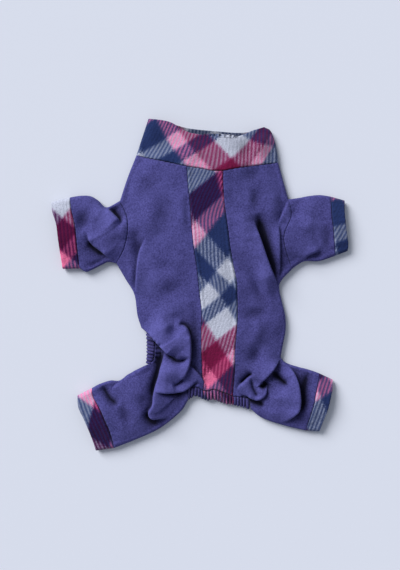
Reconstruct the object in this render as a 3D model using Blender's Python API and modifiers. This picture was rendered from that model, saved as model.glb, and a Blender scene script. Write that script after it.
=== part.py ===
"""Cat pyjama jumpsuit, laid flat with its back up.

Jersey sides (each cut in one with its hind leg), jersey sleeves and belly, and brushed plaid fleece for
the collar, the spine stripe and the cuffs. Every piece is a cloth wall on one shared surface: an upper layer
and a lower layer that meet in a round fold along the outline. +X is across the garment, +Y points at the
collar.
"""

from collections import namedtuple
from math import cos, pi, radians, sin

import bpy
import numpy as np

# Driving sizes of the garment, in metres
CHEST_WIDTH = 0.194  # across the body at the armholes
BACK_LENGTH = 0.282  # collar seam to the tail casing
SLEEVE_LENGTH = 0.056  # armhole to cuff seam
SLEEVE_WIDTH = 0.079
LEG_LENGTH = 0.085  # hip to cuff seam
LEG_WIDTH = 0.077
FRONT_CUFF_DEPTH = 0.021
HIND_CUFF_DEPTH = 0.020
COLLAR_HEIGHT = 0.043
CASING_WIDTH = 0.0100
# Cloth and lie
JERSEY_WALL = 0.0017
FLEECE_WALL = 0.0024
CASING_THICKNESS = 0.0024
TAIL_HEM_HEIGHT = 0.0058
FOLD_RADIUS = 0.0042  # of the round fold along the outline
LOFT = 0.013  # how far the upper layer stands above a flat fold in mid body
LOFT_REACH = 0.028
LIMB_LOFT_SHARE = 0.42
TAIL_DROP_REACH = 0.030
CHEST_LOFT_REACH = 0.25  # from the middle, as a share of CHEST_WIDTH: the loft fades beyond it
CHEST_LOFT_FADE = 0.45
COLLAR_FADE = 0.086  # over which the loft fades along the collar
TAIL_LOFT_SHARE = 0.15  # of the loft that is left at the tail hem
TAIL_FOLD_SHARE = 0.30
CREASE_LIMIT = 0.70  # deepest crease, as a share of the loft there
FOLD_HEIGHT = 0.0085
FOLD_WIDTH = 0.0105
FOLD_FADE = 1.6  # a fold has its full height where this times the sine along it passes one
FOLD_FADE_START = 0.08
GATHER_PITCH = 0.0042
GATHER_HEIGHT = 0.0009
PLAIN_PITCH = 0.012  # between the sections of a casing that the garment hides
ROLL_HEIGHT = 0.0009  # of the turned edges of the stripe
BELLY_SEAM = 0.27  # from the middle, as a share of CHEST_WIDTH
SEAM_GAP = 0.0005  # between neighbouring pieces
CASING_GAP = 0.0008  # between a casing and the edge that it is sewn to
SEAM_DIP = 0.0005
# Directions in which the limbs lie, in degrees from +X
LEFT_SLEEVE_TURN = 180.0
RIGHT_SLEEVE_TURN = 11.3
LEFT_LEG_TURN = 208.2
RIGHT_LEG_TURN = -19.1

JERSEY_COLOUR = (0.085, 0.075, 0.24)
FLEECE_COLOUR = (0.42, 0.10, 0.22)
CASING_COLOUR = (0.06, 0.05, 0.19)
JERSEY_ROUGHNESS = 0.85
FLEECE_ROUGHNESS = 0.95
CASING_ROUGHNESS = 0.9

FOLD = "fold"
SEAM = "seam"

# A section of a side or a sleeve runs from a point on its outer edge to one on its inner edge. "rows" is the
# number of mesh rows to the next section, the edges are those of the stretch that starts here, and "under" is
# the share of the section that the lower layer covers.
Section = namedtuple("Section", "outer inner rows outer_edge inner_edge under outer_corner inner_corner")

# Across and along are shares of CHEST_WIDTH and BACK_LENGTH, from the middle of the collar seam.
LEFT_BODY = (
    Section((-0.438, -0.043), (-0.123, 0.011), 2, FOLD, SEAM, 0.42, True, True),
    Section((-0.494, 0.055), (-0.117, 0.081), 2, FOLD, SEAM, 0.42, False, False),
    Section((-0.540, 0.151), (-0.106, 0.153), 2, SEAM, SEAM, 0.42, True, False),
    Section((-0.494, 0.221), (-0.098, 0.230), 2, SEAM, SEAM, 0.42, False, False),
    Section((-0.486, 0.285), (-0.091, 0.289), 2, SEAM, SEAM, 0.42, False, False),
    Section((-0.512, 0.357), (-0.080, 0.357), 2, SEAM, SEAM, 0.42, False, False),
    Section((-0.562, 0.419), (-0.066, 0.421), 2, FOLD, SEAM, 0.42, True, False),
    Section((-0.506, 0.485), (-0.054, 0.485), 2, FOLD, SEAM, 0.42, False, False),
    Section((-0.451, 0.551), (-0.044, 0.553), 2, FOLD, SEAM, 0.42, False, False),
    Section((-0.432, 0.638), (-0.032, 0.626), 2, FOLD, SEAM, 0.42, False, False),
    Section((-0.407, 0.694), (-0.035, 0.681), 1, SEAM, SEAM, 0.42, True, False),
    Section((-0.328, 0.730), (-0.035, 0.728), 2, SEAM, SEAM, 0.0, False, False),
    Section((-0.323, 0.783), (-0.035, 0.783), 2, SEAM, SEAM, 0.0, False, False),
    Section((-0.332, 0.832), (-0.032, 0.830), 1, SEAM, SEAM, 0.0, False, False),
    Section((-0.386, 0.855), (-0.030, 0.872), 2, FOLD, SEAM, 0.16, True, False),
    Section((-0.451, 0.877), (-0.022, 0.960), 1, FOLD, SEAM, 0.45, False, True),
    Section((-0.472, 0.886), (-0.060, 0.946), 1, FOLD, SEAM, 0.58, False, False),
    Section((-0.494, 0.894), (-0.114, 0.947), 2, FOLD, SEAM, 0.72, False, True),
)
RIGHT_BODY = (
    Section((0.444, -0.011), (0.099, 0.030), 2, FOLD, SEAM, 0.42, True, True),
    Section((0.469, 0.055), (0.099, 0.081), 2, FOLD, SEAM, 0.42, False, False),
    Section((0.506, 0.145), (0.105, 0.153), 2, SEAM, SEAM, 0.42, True, False),
    Section((0.522, 0.213), (0.119, 0.226), 2, SEAM, SEAM, 0.42, False, False),
    Section((0.478, 0.289), (0.133, 0.294), 2, SEAM, SEAM, 0.42, False, False),
    Section((0.478, 0.345), (0.140, 0.340), 2, SEAM, SEAM, 0.42, False, False),
    Section((0.528, 0.443), (0.160, 0.421), 2, FOLD, SEAM, 0.42, True, False),
    Section((0.460, 0.494), (0.182, 0.494), 2, FOLD, SEAM, 0.42, False, False),
    Section((0.451, 0.536), (0.185, 0.540), 2, FOLD, SEAM, 0.42, False, False),
    Section((0.485, 0.638), (0.188, 0.638), 2, FOLD, SEAM, 0.42, False, False),
    Section((0.489, 0.700), (0.182, 0.700), 2, FOLD, SEAM, 0.42, False, False),
    Section((0.472, 0.766), (0.173, 0.766), 2, FOLD, SEAM, 0.20, False, False),
    Section((0.457, 0.819), (0.171, 0.813), 2, FOLD, SEAM, 0.20, True, False),
    Section((0.481, 0.838), (0.172, 0.864), 2, FOLD, SEAM, 0.30, False, False),
    Section((0.520, 0.851), (0.160, 0.983), 1, FOLD, SEAM, 0.50, False, True),
    Section((0.552, 0.857), (0.213, 0.987), 1, FOLD, SEAM, 0.64, False, False),
    Section((0.580, 0.863), (0.265, 0.996), 1, FOLD, SEAM, 0.80, False, True),
)
# Out is a share of the limb's length from its root, up a share of its width from its middle line.
LEFT_LEG = (
    Section((0.544, 0.395), (-0.182, -0.383), 2, FOLD, FOLD, 1.0, False, True),
    Section((0.656, 0.461), (-0.003, -0.489), 2, FOLD, FOLD, 1.0, False, False),
    Section((0.786, 0.490), (0.352, -0.562), 2, FOLD, FOLD, 1.0, False, False),
    Section((0.863, 0.496), (0.695, -0.544), 2, FOLD, FOLD, 1.0, False, False),
    Section((0.936, 0.494), (1.056, -0.498), 0, FOLD, FOLD, 1.0, True, True),
)
RIGHT_LEG = (
    Section((0.738, 0.459), (0.214, -0.417), 2, FOLD, FOLD, 1.0, False, True),
    Section((0.788, 0.463), (0.415, -0.489), 2, FOLD, FOLD, 1.0, False, False),
    Section((0.869, 0.466), (0.742, -0.487), 2, FOLD, FOLD, 1.0, False, False),
    Section((0.959, 0.464), (1.045, -0.454), 0, FOLD, FOLD, 1.0, True, True),
)
LEFT_SLEEVE = (
    Section((0.319, 0.379), (0.277, -0.455), 2, FOLD, FOLD, 1.0, False, False),
    Section((0.489, 0.477), (0.447, -0.508), 2, FOLD, FOLD, 1.0, False, False),
    Section((0.660, 0.548), (0.638, -0.576), 1, FOLD, FOLD, 1.0, False, False),
    Section((0.872, 0.556), (0.766, -0.606), 2, FOLD, FOLD, 1.0, False, False),
    Section((1.106, 0.530), (0.894, -0.553), 0, FOLD, FOLD, 1.0, True, True),
)
RIGHT_SLEEVE = (
    Section((0.393, 0.541), (0.091, -0.458), 2, FOLD, FOLD, 1.0, False, False),
    Section((0.631, 0.539), (0.273, -0.425), 2, FOLD, FOLD, 1.0, False, False),
    Section((0.864, 0.520), (0.566, -0.464), 2, FOLD, FOLD, 1.0, False, False),
    Section((1.077, 0.468), (0.911, -0.436), 0, FOLD, FOLD, 1.0, True, True),
)
# Cuff seams in limb shares, and each cuff's rim: how far it lies past its seam, as a share of the cuff's
# depth, and up, as a share of the limb's width.
LEFT_FRONT_SEAM = (
    (1.106, 0.530), (1.064, 0.333), (1.0, 0.152), (0.957, -0.061), (0.936, -0.273), (0.894, -0.553),
)
RIGHT_FRONT_SEAM = (
    (1.077, 0.468), (1.05, 0.333), (1.006, 0.138), (0.988, -0.045), (0.946, -0.348), (0.911, -0.436),
)
LEFT_HIND_SEAM = (
    (0.936, 0.494), (0.974, 0.366), (0.963, 0.156), (0.978, -0.039), (0.995, -0.206), (1.056, -0.498),
)
RIGHT_HIND_SEAM = (
    (0.959, 0.464), (0.983, 0.366), (1.01, 0.112), (1.031, -0.029), (1.044, -0.355), (1.045, -0.454),
)
LEFT_FRONT_RIM = ((1.06, 0.455), (1.10, 0.30), (1.08, 0.13), (1.07, -0.07), (1.02, -0.29), (0.97, -0.561))
RIGHT_FRONT_RIM = ((0.74, 0.367), (0.73, 0.25), (0.74, 0.10), (0.73, -0.09), (0.76, -0.30), (0.77, -0.400))
LEFT_HIND_RIM = ((0.97, 0.500), (1.06, 0.34), (1.14, 0.13), (1.12, -0.04), (1.08, -0.19), (1.05, -0.400))
RIGHT_HIND_RIM = ((0.90, 0.440), (0.92, 0.30), (0.92, 0.10), (0.88, -0.06), (0.82, -0.26), (0.80, -0.400))
# The collar seam and the two rims, across and along as for the body; the rims' "along" is a share of
# COLLAR_HEIGHT above the seam line.
NECK_SEAM_LEFT = ((-0.438, -0.043), (-0.352, -0.026), (-0.228, -0.006), (-0.123, 0.011))
NECK_SEAM_MIDDLE = ((-0.123, 0.011), (-0.043, 0.019), (0.019, 0.028), (0.099, 0.030))
NECK_SEAM_RIGHT = ((0.099, 0.030), (0.204, 0.015), (0.327, 0.001), (0.444, -0.011))
NEAR_RIM = (
    (-0.364, 1.298), (-0.228, 1.187), (-0.105, 0.879), (0.080, 0.780), (0.191, 0.780), (0.285, 0.960),
    (0.358, 1.069),
)
FAR_RIM = (
    (-0.364, 1.298), (-0.228, 1.187), (-0.105, 1.049), (0.080, 0.964), (0.191, 0.930), (0.285, 0.970),
    (0.358, 1.069),
)
COLLAR_RIGHT_EDGE = ((0.444, -0.011), (0.438, 0.30), (0.420, 0.695), (0.395, 0.97), (0.358, 1.069))
# The seam of the tail hem under the stripe, and the depths of its three stretches from the middle outwards,
# as shares of CASING_WIDTH
TAIL_MIDDLE = ((-0.022, 0.960), (0.012, 0.962), (0.037, 0.955), (0.080, 0.962), (0.160, 0.983))
TAIL_DEPTHS = {
    "left": (1.07, 1.07, 1.10, 1.45),
    "middle": (1.07, 1.17, 1.30, 1.30, 1.07),
    "right": (1.07, 1.20, 1.24),
}
DEPTH_STEPS = 4  # points from one of those depths to the next
# The part of the left flank's edge along which its casing shows
FLANK_CASING_START = 0.20
FLANK_CASING_END = 0.86
# How far the thigh casings stop short of the belly hem and of the crotch, as shares of CASING_WIDTH, and the
# point between them, across and along, that they turn towards
THIGH_CASING_START = {"left": 0.0, "right": 1.3}
THIGH_CASING_END = 1.6
OPENING_MIDDLE = (0.0, 0.80)
LIMB_ROOTS = {
    "left_sleeve": (-0.531, 0.285),
    "right_sleeve": (0.499, 0.303),
    "left_leg": (-0.259, 0.936),
    "right_leg": (0.237, 0.912),
}

# Folds of the upper layer: name, height as a share of FOLD_HEIGHT (below zero for a crease), width as a share
# of FOLD_WIDTH, and the line it follows, across and along.
FOLDS = (
    ("flank puff", 1.0, 1.3, ((-0.395, 0.651), (-0.290, 0.715), (-0.179, 0.766), (-0.130, 0.796))),
    ("hook by the stripe", -0.7, 0.6, (
        (-0.167, 0.677), (-0.117, 0.694), (-0.102, 0.766), (-0.111, 0.838), (-0.198, 0.932),
    )),
    ("flank pocket", -0.9, 0.6, ((-0.253, 0.787), (-0.198, 0.830), (-0.130, 0.817))),
    ("edge over the flank casing", -0.6, 0.6, ((-0.407, 0.698), (-0.340, 0.732), (-0.272, 0.774))),
    ("gap beside the thigh roll", -1.0, 0.6, (
        (-0.272, 0.796), (-0.290, 0.872), (-0.327, 0.949), (-0.346, 1.04),
    )),
    ("thigh roll", 0.7, 1, ((-0.216, 0.838), (-0.241, 0.894), (-0.272, 0.979), (-0.290, 1.05))),
    ("under the thigh roll", -0.8, 0.6, ((-0.302, 0.964), (-0.198, 0.966), (-0.117, 0.949), (-0.049, 0.915))),
    ("roll by the tail", 0.4, 0.6, ((-0.130, 0.864), (-0.068, 0.902), (-0.043, 0.940))),
    ("flank dimple", -0.5, 0.6, ((-0.253, 0.685), (-0.204, 0.706), (-0.179, 0.694))),
    ("left armpit crease", -0.5, 0.6, ((-0.395, 0.332), (-0.407, 0.370), (-0.426, 0.430), (-0.441, 0.498))),
    ("left armpit pleat", 0.35, 0.6, ((-0.463, 0.383), (-0.481, 0.438), (-0.475, 0.498))),
    ("left of the stripe", 0.25, 0.9, ((-0.136, 0.021), (-0.136, 0.191), (-0.130, 0.362))),
    ("left ankle crease", -0.5, 0.6, ((-0.642, 0.940), (-0.617, 0.970), (-0.580, 1.0), (-0.537, 1.02))),
    ("left ankle notch", -0.4, 0.6, ((-0.586, 0.955), (-0.531, 0.919))),
    ("left shin roll", 0.4, 1.1, ((-0.506, 0.957), (-0.457, 1.02), (-0.414, 1.08))),
    ("left heel crease", -0.6, 0.6, ((-0.358, 1.05), (-0.346, 1.08), (-0.302, 1.11))),
    ("left shin crease", -0.35, 0.6, ((-0.506, 1.01), (-0.503, 1.05), (-0.469, 1.09))),
    ("left sleeve roll", 0.9, 1.2, ((-0.679, 0.170), (-0.611, 0.243), (-0.549, 0.311))),
    ("left elbow crease", -0.9, 0.6, ((-0.722, 0.332), (-0.673, 0.362), (-0.611, 0.396))),
    ("left shoulder crease", -0.7, 0.6, ((-0.636, 0.174), (-0.593, 0.209), (-0.537, 0.243))),
    ("left cuff crease", -0.35, 0.6, ((-0.765, 0.200), (-0.735, 0.277), (-0.722, 0.332))),
    ("right drape crease", -0.9, 0.6, (
        (0.290, 0.226), (0.321, 0.298), (0.352, 0.370), (0.401, 0.455), (0.444, 0.528),
    )),
    ("right drape roll", 0.5, 0.7, ((0.259, 0.243), (0.290, 0.319), (0.321, 0.387), (0.370, 0.468))),
    ("right side crease", -0.35, 0.6, ((0.444, 0.243), (0.441, 0.340), (0.448, 0.447))),
    ("right shoulder flap", -0.6, 0.6, ((0.494, 0.153), (0.475, 0.200), (0.444, 0.243))),
    ("right waist crease", -0.35, 0.6, ((0.235, 0.413), (0.302, 0.498), (0.352, 0.587), (0.420, 0.630))),
    ("right waist hollow", -0.35, 0.7, ((0.210, 0.643), (0.302, 0.634), (0.389, 0.626))),
    ("right hip hollow", -0.3, 0.6, ((0.302, 0.745), (0.309, 0.821), (0.302, 0.881))),
    ("right chest hollow", -0.3, 0.6, ((0.309, 0.106), (0.315, 0.170), (0.315, 0.217))),
    ("right sleeve roll", 0.5, 1.2, ((0.574, 0.213), (0.648, 0.255), (0.710, 0.285))),
    ("right elbow crease", -0.5, 0.6, ((0.593, 0.409), (0.630, 0.387), (0.704, 0.362))),
    ("right pouch edge", -0.8, 0.6, (
        (0.469, 0.830), (0.525, 0.868), (0.562, 0.949), (0.568, 1.02), (0.519, 1.08),
    )),
    ("right pouch roll", 0.7, 1, ((0.457, 0.881), (0.500, 0.936), (0.500, 1.0), (0.451, 1.05))),
    ("right hip crease", -0.8, 0.6, ((0.457, 0.826), (0.407, 0.877), (0.340, 0.919))),
    ("right tuck", -0.7, 0.6, (
        (0.284, 0.919), (0.296, 0.970), (0.327, 0.991), (0.358, 0.966), (0.377, 0.928),
    )),
    ("ridge in the tuck", 0.4, 0.6, ((0.321, 0.932), (0.333, 0.970))),
    ("right of the tail", -0.5, 0.6, ((0.204, 0.936), (0.241, 0.911), (0.272, 0.885))),
    ("over the tail casing", -0.5, 0.6, ((0.216, 0.987), (0.296, 1.0), (0.346, 1.02))),
)

HEM_SECTION = 10  # the section of each side at which the belly hem starts
EDGE_BAND_STEP = 0.3  # inner step of an edge band, as a share of the band
WIDEST_EDGE_BAND = 0.25  # share of a narrow row that its band takes at most
UPPER_COLUMNS = 7  # between the two edge bands of a layer
LOWER_COLUMNS = 2
STRIPE_ROWS = 26
STRIPE_COLUMNS = 4
BELLY_ROWS = 8
BELLY_COLUMNS = 8
CUFF_ROWS = 2
COLLAR_ROWS = 4
COLLAR_COLUMNS = 13
COLLAR_LOWER_COLUMNS = 9
CASING_MIDDLE = 0.4  # of the way from a casing's seam to its free edge, where its middle line runs
GATHER_FLOOR = 0.4  # of a gather's height, kept between two gathers
CURVE_STEPS = 6  # points on a smooth curve between two of its own points


def body_at(share):
    """Plan point from shares of the chest width and the back length."""
    return np.array((share[0] * CHEST_WIDTH, -share[1] * BACK_LENGTH))


def limb_at(root, turn, length, width):
    """Function that turns (out, up) shares of a limb into plan points."""
    along = np.array((cos(radians(turn)), sin(radians(turn))))
    if along[0] < 0.0:
        across = np.array((along[1], -along[0]))
    else:
        across = np.array((-along[1], along[0]))
    start = body_at(LIMB_ROOTS[root])
    return lambda share: start + along * (share[0] * length) + across * (share[1] * width)


left_sleeve_at = limb_at("left_sleeve", LEFT_SLEEVE_TURN, SLEEVE_LENGTH, SLEEVE_WIDTH)
right_sleeve_at = limb_at("right_sleeve", RIGHT_SLEEVE_TURN, SLEEVE_LENGTH, SLEEVE_WIDTH)
left_leg_at = limb_at("left_leg", LEFT_LEG_TURN, LEG_LENGTH, LEG_WIDTH)
right_leg_at = limb_at("right_leg", RIGHT_LEG_TURN, LEG_LENGTH, LEG_WIDTH)


def smooth_line(points, steps, corners):
    """Curve through the points, broken at the corners, with a number of steps from each point to the next."""
    line = []
    last = len(points) - 1
    for i in range(last):
        here, there = points[i], points[i + 1]
        before = here - (there - here) if i == 0 or corners[i] else points[i - 1]
        after = there + (there - here) if i + 1 == last or corners[i + 1] else points[i + 2]
        for step in range(steps[i]):
            t = step / steps[i]
            second = 2 * before - 5 * here + 4 * there - after
            third = 3 * here - before - 3 * there + after
            line.append(0.5 * (2 * here + (there - before) * t + second * t ** 2 + third * t ** 3))
    line.append(points[last])
    return np.array(line)


def simple_line(points):
    """Smooth curve without corners through a short list of plan points."""
    count = len(points)
    return smooth_line([np.array(p) for p in points], [CURVE_STEPS] * count, [False] * count)


def line_length(line):
    return np.sum(np.linalg.norm(np.diff(line, axis=0), axis=1))


def along_line(line, shares):
    """Points at the given shares of a line's length."""
    lengths = np.concatenate(([0.0], np.cumsum(np.linalg.norm(np.diff(line, axis=0), axis=1))))
    at = np.asarray(shares) * lengths[-1]
    return np.stack([np.interp(at, lengths, line[:, k]) for k in range(2)], axis=1)


def edge_bands(width, columns):
    """Shares across a row: close together in the bands at its edges, even between them."""
    band = min(FOLD_RADIUS / width, WIDEST_EDGE_BAND)
    step = EDGE_BAND_STEP * band
    between = np.linspace(band, 1.0 - band, columns + 2)[1:-1]
    return np.array([0.0, step, band, *between, 1.0 - band, 1.0 - step, 1.0])


def blended_rows(outer, inner, start, end, share_rows):
    """Plan grid between two edges, whose first and last rows follow the start and end curves."""
    grid = []
    last = len(outer) - 1
    for i in range(last + 1):
        shares = share_rows[i][:, None]
        row = outer[i] * (1 - shares) + inner[i] * shares
        for curve, weight in ((start, (1 - i / last) ** 2), (end, (i / last) ** 2)):
            straight = curve[0] * (1 - shares) + curve[-1] * shares
            row = row + weight * (along_line(curve, share_rows[i]) - straight)
        grid.append(row)
    return np.array(grid)


def inset_line(line, inward, distance):
    """Line moved sideways by a distance, towards the side on which the inward points lie."""
    run = np.gradient(line, axis=0)
    normal = np.stack((-run[:, 1], run[:, 0]), axis=1)
    normal /= np.linalg.norm(normal, axis=1)[:, None]
    side = np.sign(np.sum(normal * (inward - line)))
    return line + normal * side * distance


def stretches(flags):
    """Index ranges over which a flag holds."""
    found = []
    start = None
    for i, flag in enumerate(list(flags) + [False]):
        if flag and start is None:
            start = i
        if not flag and start is not None:
            found.append((start, i))
            start = None
    return found


class Surface:
    """The garment's shared upper and lower surfaces, from its fold lines and its tail seam."""

    def __init__(self, fold_lines, tail_line):
        starts = np.concatenate([line[:-1] for line in fold_lines])
        ends = np.concatenate([line[1:] for line in fold_lines])
        self.edges = (starts, ends)
        self.tail = (tail_line[:-1], tail_line[1:])
        self.folds = []
        for _, height, width, line in FOLDS:
            path = simple_line([body_at(p) for p in line])
            self.folds.append((height * FOLD_HEIGHT, width * FOLD_WIDTH, path))

    @staticmethod
    def nearest(points, starts, ends):
        """Distance to the nearest segment, and that segment's place in the list."""
        run = ends - starts
        reach = np.maximum(np.sum(run * run, axis=1), 1e-12)
        offset = points[:, None, :] - starts[None]
        share = np.clip(np.sum(offset * run[None], axis=2) / reach[None], 0.0, 1.0)
        gap = np.linalg.norm(offset - share[..., None] * run[None], axis=2)
        pick = np.argmin(gap, axis=1)
        row = np.arange(len(points))
        return gap[row, pick], (pick + share[row, pick]) / len(starts)

    def folds_at(self, points):
        total = np.zeros(len(points))
        for height, width, path in self.folds:
            gap, along = self.nearest(points, path[:-1], path[1:])
            at = FOLD_FADE_START + (1 - 2 * FOLD_FADE_START) * along
            fade = np.clip(FOLD_FADE * np.sin(pi * at), 0.0, 1.0)
            total += height * fade * np.exp(-(gap / width) ** 2)
        return total

    def upper(self, points):
        gap = self.nearest(points, *self.edges)[0]
        into = np.clip(FOLD_RADIUS - gap, 0.0, None)
        roll = FOLD_RADIUS + np.sqrt(np.maximum(FOLD_RADIUS ** 2 - into ** 2, 0.0))
        out = np.clip(np.abs(points[:, 0]) / CHEST_WIDTH - CHEST_LOFT_REACH, 0.0, None) / CHEST_LOFT_FADE
        full = LIMB_LOFT_SHARE + (1 - LIMB_LOFT_SHARE) * np.exp(-out ** 2)
        full = np.where(points[:, 1] > 0.0, full * np.exp(-points[:, 1] / COLLAR_FADE), full)
        inside = np.clip(gap - FOLD_RADIUS, 0.0, None)
        loft = LOFT * full * (1 - np.exp(-inside / LOFT_REACH))
        near_edge = 1 - np.exp(-inside / FOLD_RADIUS)
        tail_gap = self.nearest(points, *self.tail)[0]
        drop = 1 - np.exp(-(tail_gap / TAIL_DROP_REACH) ** 2)
        folds = self.folds_at(points) * near_edge
        folds *= TAIL_FOLD_SHARE + (1 - TAIL_FOLD_SHARE) * drop
        folds = np.maximum(folds, -CREASE_LIMIT * loft)
        return roll + loft * (TAIL_LOFT_SHARE + (1 - TAIL_LOFT_SHARE) * drop) + folds

    def lower(self, points):
        gap = self.nearest(points, *self.edges)[0]
        into = np.clip(FOLD_RADIUS - gap, 0.0, None)
        return FOLD_RADIUS - np.sqrt(np.maximum(FOLD_RADIUS ** 2 - into ** 2, 0.0))


def two_layers(upper, lower, outer_folds, inner_folds, heights_up, heights_low):
    """Points and faces of an upper and a lower layer, joined along the rows whose edges are folds."""
    points = []
    faces = []
    rows, columns = upper.shape[:2]
    upper_at = np.arange(rows * columns).reshape(rows, columns)
    for row in range(rows):
        for column in range(columns):
            points.append((*upper[row, column], heights_up[row, column]))
    turn = plan_turn(upper)
    add_quads(faces, upper_at, turn > 0)
    if lower is None:
        return points, faces
    lower_columns = lower.shape[1]
    lower_at = np.full((rows, lower_columns), -1)
    present = ~np.isnan(lower[:, 0, 0])
    for row in np.flatnonzero(present):
        for column in range(lower_columns):
            if column == 0 and outer_folds[row]:
                lower_at[row, column] = upper_at[row, 0]
            elif column == lower_columns - 1 and inner_folds[row]:
                lower_at[row, column] = upper_at[row, columns - 1]
            else:
                lower_at[row, column] = len(points)
                points.append((*lower[row, column], heights_low[row, column]))
    for first, after in stretches(present):
        add_quads(faces, lower_at[first:after], turn < 0)
    return points, faces


def plan_turn(grid):
    """Above zero where rows and columns run anticlockwise seen from above."""
    across = grid[:, 1:] - grid[:, :-1]
    down = grid[1:] - grid[:-1]
    a, b = across[:-1], down[:, :-1]
    return np.sum(a[..., 0] * b[..., 1] - a[..., 1] * b[..., 0])


def add_quads(faces, at, forward):
    for row in range(at.shape[0] - 1):
        for column in range(at.shape[1] - 1):
            quad = (at[row, column], at[row, column + 1], at[row + 1, column + 1], at[row + 1, column])
            faces.append(tuple(int(v) for v in (quad if forward else quad[::-1])))


def side_edges(sections, places):
    """Outer and inner edge of a side with its hind leg, row by row, and the share of each row that has a
    lower layer."""
    steps = [s.rows for s in sections]
    outer_points = [at(s.outer) for at, s in zip(places, sections)]
    inner_points = [at(s.inner) for at, s in zip(places, sections)]
    outer = smooth_line(outer_points, steps, [s.outer_corner for s in sections])
    inner = smooth_line(inner_points, steps, [s.inner_corner for s in sections])
    outer_edges = [s.outer_edge for s in sections for _ in range(s.rows)]
    inner_edges = [s.inner_edge for s in sections for _ in range(s.rows)]
    key_rows = np.concatenate(([0], np.cumsum(steps[:-1])))
    under = np.interp(np.arange(len(outer)), key_rows, [s.under for s in sections])
    hem_row = key_rows[HEM_SECTION]
    seam_x = np.sign(outer[0, 0]) * BELLY_SEAM * CHEST_WIDTH
    body = slice(0, hem_row + 1)
    under[body] = (outer[body, 0] - seam_x) / (outer[body, 0] - inner[body, 0])
    for i, s in enumerate(sections):
        if s.under == 0.0:
            under[key_rows[i] - sections[i - 1].rows + 1:key_rows[i] + s.rows] = 0.0
    corner_rows = [row for row, s in zip(key_rows, sections) if s.inner_corner]
    return outer, inner, outer_edges, inner_edges, under, corner_rows


def touches(edges, kind, count):
    """For each row, whether a stretch of that kind starts or ends there."""
    flags = np.zeros(count, bool)
    for i, edge in enumerate(edges):
        if edge == kind:
            flags[i] = flags[i + 1] = True
    return flags


def inset_piece(grid, start=False, end=False, outer=None, inner=None):
    """Plan grid drawn back by half the seam gap along each sewn edge."""
    grid = grid.copy()
    half = SEAM_GAP / 2
    if start:
        grid[0] = inset_line(grid[0], grid[1], half)
    if end:
        grid[-1] = inset_line(grid[-1], grid[-2], half)
    for flags, column, next_column in ((outer, 0, 1), (inner, -1, -2)):
        if flags is not None:
            for first, after in stretches(flags):
                if after - first < 2:
                    continue
                line, inward = grid[first:after, column], grid[first:after, next_column]
                grid[first:after, column] = inset_line(line, inward, half)
    return grid


def dips(shape, start=False, end=False, outer=None, inner=None):
    """How far each point sinks at the sewn edges."""
    dip = np.zeros(shape)
    if start:
        dip[0] = SEAM_DIP
    if end:
        dip[-1] = SEAM_DIP
    if outer is not None:
        dip[outer, 0] = SEAM_DIP
    if inner is not None:
        dip[inner, -1] = SEAM_DIP
    return dip


def cloth(name, colour, roughness):
    material = bpy.data.materials.new(name)
    material.use_nodes = True
    shader = material.node_tree.nodes["Principled BSDF"]
    shader.inputs["Base Color"].default_value = (*colour, 1.0)
    shader.inputs["Roughness"].default_value = roughness
    shader.inputs["Metallic"].default_value = 0.0
    return material


def make_object(name, points, faces, wall, colour, roughness):
    """Cloth wall of a piece: its outer surface, thickened inwards."""
    mesh = bpy.data.meshes.new(name)
    mesh.from_pydata([tuple(p) for p in points], [], faces)
    mesh.validate()
    mesh.shade_smooth()
    mesh.materials.append(cloth(name, colour, roughness))
    piece = bpy.data.objects.new(name, mesh)
    garment.objects.link(piece)
    split = piece.modifiers.new("split", "TRIANGULATE")
    split.quad_method = "SHORTEST_DIAGONAL"
    solid = piece.modifiers.new("wall", "SOLIDIFY")
    solid.thickness = wall
    solid.offset = -1.0
    solid.use_quality_normals = True
    return piece


def layered_object(name, upper, lower, outer_folds, inner_folds, sewn, wall, colour, roughness, roll=0.0):
    """Piece on both layers. "sewn" says which edges are seams, "roll" raises the turned edges beside them."""
    start, end, outer_seams, inner_seams, lower_outer, lower_inner = sewn
    upper = inset_piece(upper, start, end, outer_seams, inner_seams)
    heights_up = surface.upper(upper.reshape(-1, 2)).reshape(upper.shape[:2])
    heights_up -= dips(upper.shape[:2], start, end, outer_seams, inner_seams)
    heights_up[:, 1] += roll
    heights_up[:, -2] += roll
    heights_up[outer_folds, 0] = FOLD_RADIUS
    heights_up[inner_folds, -1] = FOLD_RADIUS
    heights_low = None
    if lower is not None:
        lower = inset_piece(lower, start, end, lower_outer, lower_inner)
        flat = np.nan_to_num(lower.reshape(-1, 2))
        heights_low = surface.lower(flat).reshape(lower.shape[:2])
        heights_low += dips(lower.shape[:2], start, end, lower_outer, lower_inner)
    points, faces = two_layers(upper, lower, outer_folds, inner_folds, heights_up, heights_low)
    return make_object(name, points, faces, wall, colour, roughness)


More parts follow.
